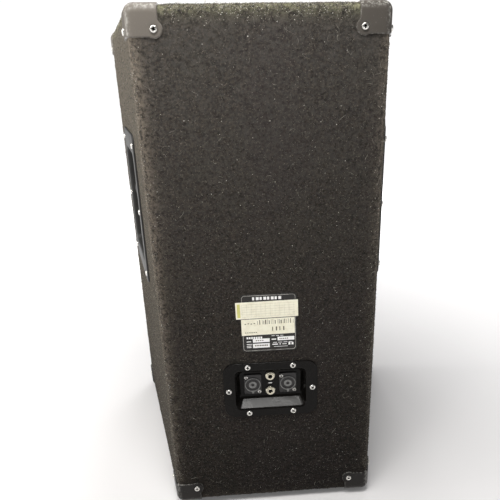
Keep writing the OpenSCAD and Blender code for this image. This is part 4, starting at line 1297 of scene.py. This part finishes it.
def handle(side, word):
    """A dish with a plate round its mouth, and a ribbed grip bar across it."""
    margin = (HANDLE_PLATE[1] - HANDLE_CUP[1]) / 2 + 0.003
    top, deep = HANDLE_PLATE_T, -HANDLE_DEPTH
    profile = rounded_path([
        (margin + 0.055, deep + 0.003, 0), (margin + 0.002, deep + 0.003, 0.009), (margin, top, 0.004),
        (0.0, top, 0.0015), (0.0, 0.0, 0), (margin - 0.003, 0.0, 0), (margin - 0.002, deep, 0.009),
        (margin + 0.055, deep, 0),
    ], 6)
    mouth = (HANDLE_CUP[0] - 0.006, HANDLE_CUP[1] - 0.006)
    tub = framed_tub(HANDLE_PLATE, 0.014, mouth, 0.014, profile, 1.0, 12)
    place = on_side(side, 0, HANDLE_V)
    piece(f"handle_cup_{word}", [moved(tub, place)], "handle_plastic", replaces=[f"handle_dish_{word}"])
    half = mouth[0] / 2 - 0.0002
    end = [(0.006, -HANDLE_CUP[0] / 2), (0.006, -half), (GRIP_R - 0.0015, -half), (GRIP_R, -half + 0.0015)]
    line = list(end)
    for k in range(1, GRIP_RIBS * 6):
        part = k / (GRIP_RIBS * 6)
        groove = 0.0009 * max(math.sin(part * math.tau * GRIP_RIBS), 0) ** 0.6
        line.append((GRIP_R - groove, -half + 0.004 + (2 * half - 0.008) * part))
    line += [(r, -w) for r, w in reversed(end)]
    bar = revolve(line, 40)
    turned = on_side(side, 0, HANDLE_V + 0.010, -0.016) @ Matrix.Rotation(math.pi / 2, 4, "Y")
    piece(
        f"handle_bar_{word}", [moved(bar, turned)], "grip_rubber",
        replaces=[f"handle_grip_{word}"], sharp=50,
    )


for side, word in ((1, "right"), (-1, "left")):
    handle(side, word)


# ---- Input dish, speaker sockets and jacks ----

def dish():
    """The moulded plate with its sunk recess, and the print between the jacks."""
    margin = (DISH_PLATE[1] - DISH_MOUTH[1]) / 2
    top, floor = DISH_PLATE_T, -DISH_DEPTH
    profile = rounded_path([
        (margin + 0.026, floor, 0), (margin + DISH_DRAFT, floor, 0.0075), (margin, top, 0.005),
        (0.0, top, 0.0012), (0.0, 0.0, 0), (margin - DISH_WALL, 0.0, 0),
        (margin + DISH_DRAFT - DISH_WALL, floor - DISH_WALL, 0.004), (margin + 0.026, floor - DISH_WALL, 0),
    ], 7)
    tub = framed_tub(DISH_PLATE, 0.016, DISH_MOUTH, 0.008, profile, 0.7, 14)
    piece("input_dish_shell", [moved(tub, on_rear(0, DISH_V))], "dish_plastic", replaces=["input_dish"])
    strip = box_shell((-0.0028, -0.0007, 0.0), (0.0028, 0.0007, 0.00008))
    piece("dish_print", [moved(strip, on_rear(0, DISH_V, floor))], "print_pale")


def plate_shell(size, radius, low, high, bevel):
    """A rounded plate with bevelled upper edges."""
    half = min(size) / 2
    profile = rounded_path([(half * 0.8, low, 0), (0, low, 0), (0, high, bevel), (half * 0.8, high, 0)], 4)
    rings = []
    for inwards, level in profile:
        kept = max(radius - inwards * 0.7, 0.0004)
        rings.append(rect_ring(size[0] - 2 * inwards, size[1] - 2 * inwards, kept, level, 6))
    return loft(rings)


def socket_ring(at):
    """The round part of a speaker socket: a core, a ring slot and an outer ring."""
    profile = rounded_path([
        (0.0003, -0.012, 0), (0.0026, -0.012, 0), (0.0026, 0.0034, 0.0005), (0.006, 0.0034, 0.0006),
        (0.006, -0.016, 0), (0.0106, -0.016, 0), (0.0106, 0.0036, 0.0004), (0.0118, 0.0036, 0.0004),
        (0.0118, -0.028, 0), (0.0003, -0.028, 0),
    ], 4)
    return moved(revolve(profile, 72), at)


def socket(side, word):
    """One locking speaker socket: its flange and keys, and its ring and latch."""
    at = on_rear(side * -SOCKET_U, DISH_V, -DISH_DEPTH)
    flange = plate_shell((0.026, 0.034), 0.003, 0.0, FLANGE_T, 0.0005)
    latch = plate_shell((0.0050, 0.0032), 0.0012, 0.0018, 0.0034, 0.0004)
    latch_at = at @ Matrix.Rotation(math.radians(-90), 4, "Z") @ Matrix.Translation((0.0128, 0, 0))
    keys = []
    for turn in (45, 225):
        key = plate_shell((0.0024, 0.0030), 0.0006, -0.014, 0.0022, 0.0003)
        turned = at @ Matrix.Rotation(math.radians(turn), 4, "Z")
        keys.append(moved(key, turned @ Matrix.Translation((0.0094, 0, 0))))
    piece(
        f"socket_{word}", [moved(flange, at), *keys], "socket_plastic",
        replaces=[f"speaker_socket_{word}"],
    )
    piece(
        f"socket_ring_{word}", [socket_ring(at), moved(latch, latch_at)], "socket_ring",
        replaces=[f"speaker_socket_{word}"],
    )


def jacks():
    """Both jacks' bushes, and the dress nuts on them as one piece."""
    places = [on_rear(0, DISH_V + sign * JACK_V, -DISH_DEPTH) for sign in (1, -1)]
    bush = [
        (0.00325, -0.0265, 0), (0.00325, 0.0035, 0.0005), (0.0050, 0.0035, 0.0006), (0.0050, -0.0035, 0),
        (0.0068, -0.0035, 0), (0.0068, -0.0275, 0), (0.00325, -0.0275, 0),
    ]
    nut = [
        (0.00505, 0.0, 0), (0.00505, 0.0027, 0.0004), (0.0062, 0.0027, 0.0005), (0.0075, 0.0016, 0.0006),
        (0.0075, 0.0, 0),
    ]
    for place, word in zip(places, ("upper", "lower")):
        lathed(f"jack_bush_{word}", bush, [place], "jack_nickel", f"jack_{word}", steps=5)
    lathed("jack_dress_nuts", nut, places, "jack_nickel", "jack_nuts", steps=5)


dish()
socket(1, "left")
socket(-1, "right")
jacks()


# ---- Rating label and the paper tags over it ----

def waved_sheet(width, height, thickness, waviness, seed, curl):
    """A thin sheet with slight waves and lifted corners; its back lies on w = 0."""
    columns, rows = int(width / 0.0016), int(height / 0.0016)
    across = np.linspace(-width / 2, width / 2, columns)
    x, y = np.meshgrid(across, np.linspace(-height / 2, height / 2, rows), indexing="ij")
    flat = np.column_stack([x.ravel(), y.ravel(), np.zeros(x.size)])
    lift = (lattice_noise(flat, 0.012, seed) + 1) / 2 * waviness
    away = np.hypot(flat[:, 0] / (width / 2), flat[:, 1] / (height / 2))
    lift += curl * np.clip(away - 1.15, 0, 1) ** 2
    upper = flat.copy()
    upper[:, 2] = thickness + lift
    lower = flat.copy()
    lower[:, 2] = lift * 0.9
    return closed_sheet(upper, lower, grid_quads(columns, rows))


def mark_row(u, v, width, height, step, count):
    """Equal marks one step apart."""
    return [(u + step * k, v, width, height) for k in range(count)]


def print_marks(marks, at, level):
    """Flat blocks of print: each mark is (u, v, width, height)."""
    shells = []
    for u, v, width, height in marks:
        block = box_shell((u, v, level), (u + width, v + height, level + PRINT_T))
        shells.append(moved(block, at))
    return shells


def label():
    """The film, its outline and its print: plain blocks and boxes in place of words."""
    at = on_rear(0, LABEL_V)
    half = min(LABEL_SIZE) / 2
    profile = rounded_path([(half * 0.9, 0, 0), (0, 0, 0), (0, LABEL_T, 0.0003), (half * 0.9, LABEL_T, 0)], 4)
    rings = [
        rect_ring(LABEL_SIZE[0] - 2 * d, LABEL_SIZE[1] - 2 * d, max(0.004 - d * 0.5, 0.0006), level)
        for d, level in profile
    ]
    piece("label_film", [moved(loft(rings), at)], "label_film", replaces=["rating_label"])
    left = -LABEL_SIZE[0] / 2
    header = [(left + 0.0165 + k * 0.0052, 0.0364, 0.0030 + 0.0010 * (k % 2), 0.0044) for k in range(8)]
    boxes = [
        (-0.0238, -0.0300, 0.0240, 0.0058), (-0.0238, -0.0388, 0.0240, 0.0068),
        (0.0115, -0.0284, 0.0240, 0.0058),
    ]
    first_u = left + 0.0065
    words = [(first_u, -0.0290, 0.0066, 0.0012), (first_u, -0.0330, 0.0078, 0.0009)]
    words += [(first_u, -0.0358, 0.0066, 0.0010), (first_u, -0.0382, 0.0066, 0.0010)]
    words += mark_row(first_u, -0.0240, 0.0024, 0.0030, 0.0033, 7)
    words += mark_row(0.0030, -0.0208, 0.0045, 0.0007, 0.0062, 3)
    words += [(0.0030, -0.0270, 0.0066, 0.0018)]
    words += mark_row(0.0050, -0.0318, 0.0058, 0.0008, 0.0074, 4)
    words += [
        (0.0040, -0.0352, 0.0080, 0.0016), (0.0142, -0.0352, 0.0020, 0.0016),
        (0.0184, -0.0350, 0.0060, 0.0011), (0.0270, -0.0362, 0.0028, 0.0038),
        (0.0315, -0.0362, 0.0028, 0.0038), (0.0060, -0.0384, 0.0200, 0.0006),
    ]
    piece("label_print", print_marks(header + boxes + words, at, LABEL_T), "print_pale")
    inside = mark_row(-0.0196, -0.0278, 0.0019, 0.0014, 0.0030, 4)
    inside += mark_row(-0.0212, -0.0362, 0.0017, 0.0022, 0.0024, 8)
    inside += mark_row(0.0140, -0.0262, 0.0019, 0.0014, 0.0027, 5)
    piece("label_box_print", print_marks(inside, at, LABEL_T + PRINT_T), "print_dark")
    outline = [rect_ring(0.0748, 0.0866, 0.0042, LABEL_T, 8), rect_ring(0.0738, 0.0856, 0.0037, LABEL_T, 8)]
    outline = outline[::-1] + [ring + (0, 0, PRINT_T) for ring in outline]
    piece("label_outline", [moved(loft(outline, "looped"), at)], "outline_grey")


def tags():
    """Two paper tags over the label, with a plain grid, a band, bars and dots."""
    upper = on_rear(-0.0025, 0.3346, LABEL_T) @ Matrix.Rotation(math.radians(0.8), 4, "Z")
    lower = on_rear(-0.0014, 0.3081, LABEL_T) @ Matrix.Rotation(math.radians(0.5), 4, "Z")
    shells = []
    for at, size, seed in ((upper, (0.0874, 0.0256), 4), (lower, (0.0754, 0.0252), 5)):
        shells.append(moved(waved_sheet(*size, 0.00022, 0.00010, seed, 0.0003), at))
    piece("paper_tag_sheets", shells, "tag_paper", replaces=["paper_tags"])
    level = 0.00030
    rows = [(-0.0350, -0.0100 + 0.0038 * k, 0.0740, 0.00030) for k in range(6)]
    columns = mark_row(-0.0350, -0.0100, 0.00025, 0.0190, 0.0066, 12)
    piece("tag_grid", print_marks(rows + columns, upper, level), "print_faint")
    band = [(-0.0416, -0.0104, 0.0042, 0.0208)]
    piece("tag_band", print_marks(band, upper, level), "print_yellow")
    widths = (0.0006, 0.0014, 0.0005, 0.0010, 0.0019, 0.0006, 0.0012, 0.0005)
    bars, u = [], -0.0150
    for k in range(19):
        bars.append((u, 0.0038, widths[k % 8] * 0.8, 0.0070 - 0.0012 * (k % 3 == 0)))
        u += widths[k % 8] + widths[(k * 3 + 1) % 8] + 0.0008
    bars += [(0.0055 + 0.0052 * k, -0.0070, 0.0012 + 0.0006 * (k % 2), 0.0062) for k in range(4)]
    dots = [(-0.0330 + 0.0042 * k, 0.0048 + 0.0006 * (k % 2), 0.0022, 0.0012) for k in range(4)]
    dots += mark_row(-0.0330, -0.0088, 0.0018, 0.0011, 0.0030, 6)
    piece("tag_bars", print_marks(bars + dots, lower, level), "print_dark")


label()
tags()


# ---- Grille: a folded tray with a perforated face ----

GRILLE_IN = 0.025
GRILLE_T = 0.0012
GRILLE_Y = FRONT_Y + 0.004
HOLE_PITCH = 0.008
HOLE_R = 0.00285


def perforated(columns, rows, low_v, row_height):
    """Staggered round holes in a flat sheet: a cell per hole and half a plain cell at each
    end of every other row, with all points shared between cells."""
    half_p, half_h = HOLE_PITCH / 2, row_height / 2
    border = [
        (half_p, -half_h), (half_p, half_h), (0, half_h), (-half_p, half_h), (-half_p, -half_h), (0, -half_h),
    ]
    hole = circle(HOLE_R, 0, even_angles(12) - math.pi / 6)[:, :2]
    cell = np.vstack([border, hole])
    triangles = []
    for a in range(6):
        b = (a + 1) % 6
        first = 6 + 2 * a
        last = 6 + (2 * a + 2) % 12
        triangles += [(a, first + 1, first), (a, b, first + 1), (b, last, first + 1)]
    spots, halves = [], []
    left = -columns * HOLE_PITCH / 2
    for row in range(rows):
        v = low_v + (row + 0.5) * row_height
        shift = 0.5 * (row % 2)
        for column in range(columns - (row % 2)):
            spots.append((left + (column + 0.5 + shift) * HOLE_PITCH, v))
        if row % 2:
            for x0 in (left, -left - half_p):
                x1 = x0 + half_p
                halves.append([(x0, v - half_h), (x1, v - half_h), (x1, v + half_h), (x0, v + half_h)])
    flat, (whole_cells,) = repeated(np.array(spots)[:, None, :] + cell[None, :, :], [np.array(triangles)])
    plain, (plain_cells,) = repeated(np.array(halves), [np.array([(0, 1, 2), (0, 2, 3)])])
    triangles = np.vstack([whole_cells, plain_cells + len(flat)])
    flat = np.vstack([flat, plain])
    first, number = welded(flat, 1e-6)
    flat = flat[first]
    front = np.column_stack([flat, np.full(len(flat), 0.0)])
    return doubled(front, front - (0, 0, GRILLE_T), [number[triangles]])


def grille():
    """A perforated face in two halves, and the folded frame round it."""
    front_half = half_width(GRILLE_Y, GRILLE_IN)
    low_v, high_v = GRILLE_IN, HEIGHT - GRILLE_IN
    row_height = HOLE_PITCH * math.sqrt(3) / 2
    band = 0.007
    columns = int((2 * front_half - 2 * band) / HOLE_PITCH)
    rows = 2 * int((high_v - low_v - 2 * band) / row_height / 4)
    middle_v = (low_v + high_v) / 2
    depth = BAFFLE_Y - GRILLE_Y
    for word, start in (("lower", middle_v - rows * row_height), ("upper", middle_v)):
        sheet = perforated(columns, rows, start, row_height)
        sheet = moved(sheet, on_baffle(0, 0, depth - 0.0001))
        piece(f"grille_face_{word}", [sheet], "grille_steel", replaces=["grille"])
    hole_w, hole_h = columns * HOLE_PITCH - 0.002, 2 * rows * row_height - 0.002
    tall = high_v - low_v
    profile = rounded_path([
        (1.0, -0.0001, 0), (0.0, 0.0, 0.0022), (0.0, -depth, 0), (GRILLE_T, -depth, 0),
        (GRILLE_T, -GRILLE_T, 0.001), (1.0, -GRILLE_T, 0),
    ], 5)
    rings = []
    for inwards, level in profile:
        if inwards == 1.0:
            rings.append(rect_ring(hole_w, hole_h, 0.001, level, 3))
            continue
        width = 2 * (front_half + level * math.tan(FLARE) - inwards)
        rings.append(rect_ring(width, tall - 2 * inwards, 0.003, level, 3))
    tray = moved(loft(rings, "looped"), on_baffle(0, middle_v, depth))
    piece("grille_frame", [tray], "grille_steel", replaces=["grille"])


grille()


# ---- Woofer's moving edge ----

def waves(r0, r1, w0, w1, count, height, steps=10):
    """A wavy profile line of (radius, w) pairs."""
    line = []
    for k in range(count * steps + 1):
        part = k / (count * steps)
        w = w0 + (w1 - w0) * part + height * math.sin(math.tau * count * part)
        line.append((r0 + (r1 - r0) * part, w))
    return line


def flexing(name, node, line, thickness, look):
    """A corrugated ring, made in world space on no body."""
    back = [(r, w - thickness) for r, w in reversed(line)]
    shell = moved(revolve(line + back, 96, "looped"), on_baffle(0, WOOFER_V))
    made = piece(name, [shell], look, body=None, replaces=[node])
    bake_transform(made)
    places = np.zeros(len(made.data.vertices) * 3)
    made.data.vertices.foreach_get("co", places)
    places = places.reshape(-1, 3)


edge_line = waves(0.1503, 0.1685, 0.003, 0.0035, 2, 0.0025) + [(0.175, 0.0035), (0.182, 0.0035)]
flexing("surround_ring", "woofer_surround", edge_line, 0.0009, "surround_cloth")
spider_line = waves(0.0326, 0.072, -0.071, -0.0738, 4, 0.0016) + [(0.078, -0.0738), (0.085, -0.0738)]
flexing("spider_ring", "woofer_spider", spider_line, 0.001, "spider_cloth")


# ---- Ports, pole socket, feet and horn ----

def port(side, word):
    lathed(f"port_{word}", [
        (PORT_R, -0.065, 0), (PORT_R, 0.004, 0.0035), (0.052, 0.004, 0.0015), (0.052, 0.0, 0),
        (0.042, 0.0, 0), (0.042, -0.065, 0),
    ], [on_baffle(side * PORT_U, PORT_V)], "port_plastic", f"port_tube_{word}", sides=96)


def pole_cup():
    outer_r = POLE_R + 0.0032
    lathed("pole_cup", [
        (0.001, -0.085, 0), (POLE_R, -0.085, 0.002), (POLE_R, 0.003, 0.0015), (0.055, 0.003, 0.0015),
        (0.055, 0.0, 0), (outer_r, 0.0, 0), (outer_r, -0.0882, 0.003), (0.001, -0.0882, 0),
    ], [on_end(False, 0, POLE_Y)], "pole_cup_steel", "pole_socket", sides=96, ends="capped")


def feet():
    lathed("feet", [
        (0.00215, 0.0, 0), (0.00215, 0.004, 0), (0.0052, 0.004, 0), (0.0052, 0.008, 0.0006),
        (0.0175, 0.008, 0.0018), (0.019, 0.0, 0),
    ], [on_end(False, x, MID_Y + y) for x, y in FOOT_SPOTS], "foot_rubber", "rubber_feet")


def horn():
    """A flange, and a flare that turns from a squarish mouth into a round throat."""
    throat, rings, sides = 0.0127, 26, 96
    cosine, sine = np.cos(even_angles(sides)), np.sin(even_angles(sides))
    mouth = np.array(HORN_SIZE) / 2 - 0.015

    def ring(part, grow, level):
        a = throat + (mouth[0] - throat) * (1 - part) ** 1.7 + grow
        b = throat + (mouth[1] - throat) * (1 - part) ** 1.3 + grow
        power = 2 / (2 + 5 * (1 - part) ** 1.5)
        x = a * np.sign(cosine) * np.abs(cosine) ** power
        y = b * np.sign(sine) * np.abs(sine) ** power
        return np.column_stack([x, y, np.full(sides, level)])

    def edge(inwards, level):
        shape = ring(0, 0, level)
        shape[:, :2] *= (np.array(HORN_SIZE) / 2 - inwards) / mouth
        return shape

    inner = [ring(k / rings, 0, -HORN_DEPTH * k / rings) for k in range(rings, -1, -1)]
    lip = [ring(0, 0.0004, 0.0038), ring(0, 0.0016, 0.005)]
    lip += [edge(0.0014, 0.005), edge(0.0, 0.0036), edge(0.0, 0.0)]
    outer = [ring(k / rings, 0.003, -HORN_DEPTH * k / rings - 0.0001 * (k == 0)) for k in range(rings + 1)]
    shell = moved(loft(inner + lip + outer, "looped"), on_baffle(0, HORN_V))
    face = revolve([(throat, -0.119), (0.038, -0.119), (0.038, -0.125), (throat, -0.125)], 64, "looped")
    piece("horn", [shell, moved(face, on_baffle(0, HORN_V))], "horn_plastic", replaces=["horn_flare"])


for side, word in ((-1, "left"), (1, "right")):
    port(side, word)
pole_cup()
feet()
horn()


# ---- Wadding ----

def pad(name, size, at, seed):
    """A soft pad with rounded sides and a lumpy, quilted face."""
    columns, rows = int(size[0] / 0.006), int(size[1] / 0.006)
    x, y = np.meshgrid(np.linspace(-1, 1, columns), np.linspace(-1, 1, rows), indexing="ij")
    x, y = x.ravel(), y.ravel()
    swell = (1 - np.abs(x) ** 14) * (1 - np.abs(y) ** 14)
    flat = np.column_stack([x * size[0] / 2, y * size[1] / 2, np.zeros(x.size)])
    lumps = lattice_noise(flat, 0.03, seed) * 0.0014 + lattice_noise(flat, 0.009, seed + 1) * 0.0006
    quilt = 0.0022 * np.abs(np.sin(flat[:, 0] * 45)) * np.abs(np.sin(flat[:, 1] * 45))
    half = size[2] / 2
    lift = (half - 0.003 + lumps + quilt) * np.sqrt(np.clip(swell, 0, 1)) + 0.0012
    upper = flat.copy()
    upper[:, 2] = np.minimum(lift, half)
    lower = flat.copy()
    lower[:, 2] = -np.minimum(half * np.sqrt(np.clip(swell, 0, 1)) * 0.97 + 0.0008, half)
    shell = moved(closed_sheet(upper, lower, grid_quads(columns, rows)), at)
    made = piece(name, [shell], "wadding_fibre", replaces=["acoustic_wadding"], sharp=180)


INNER_IN = 0.021
pad("wadding_top", (2 * half_width(MID_Y + 0.150, INNER_IN + 0.010), 0.245, 0.0198),
    on_end(True, 0, MID_Y + 0.025, -INNER_IN - 0.011), 11)
for side, word in ((-1, "left"), (1, "right")):
    middle = on_side(side, 0.015, 0.170, -INNER_IN - 0.0112)
    pad(f"wadding_{word}", (0.250, 0.238, 0.0198), middle, 20 + side)


# ---- The other CAD parts keep their shapes and take their slot's material ----

for subpart in frame["record"]["subparts"]:
    node = frame["nodes"][subpart["node"]]
    node.data.materials.clear()
    node.data.materials.append(LOOKS[subpart["material_slot"]])
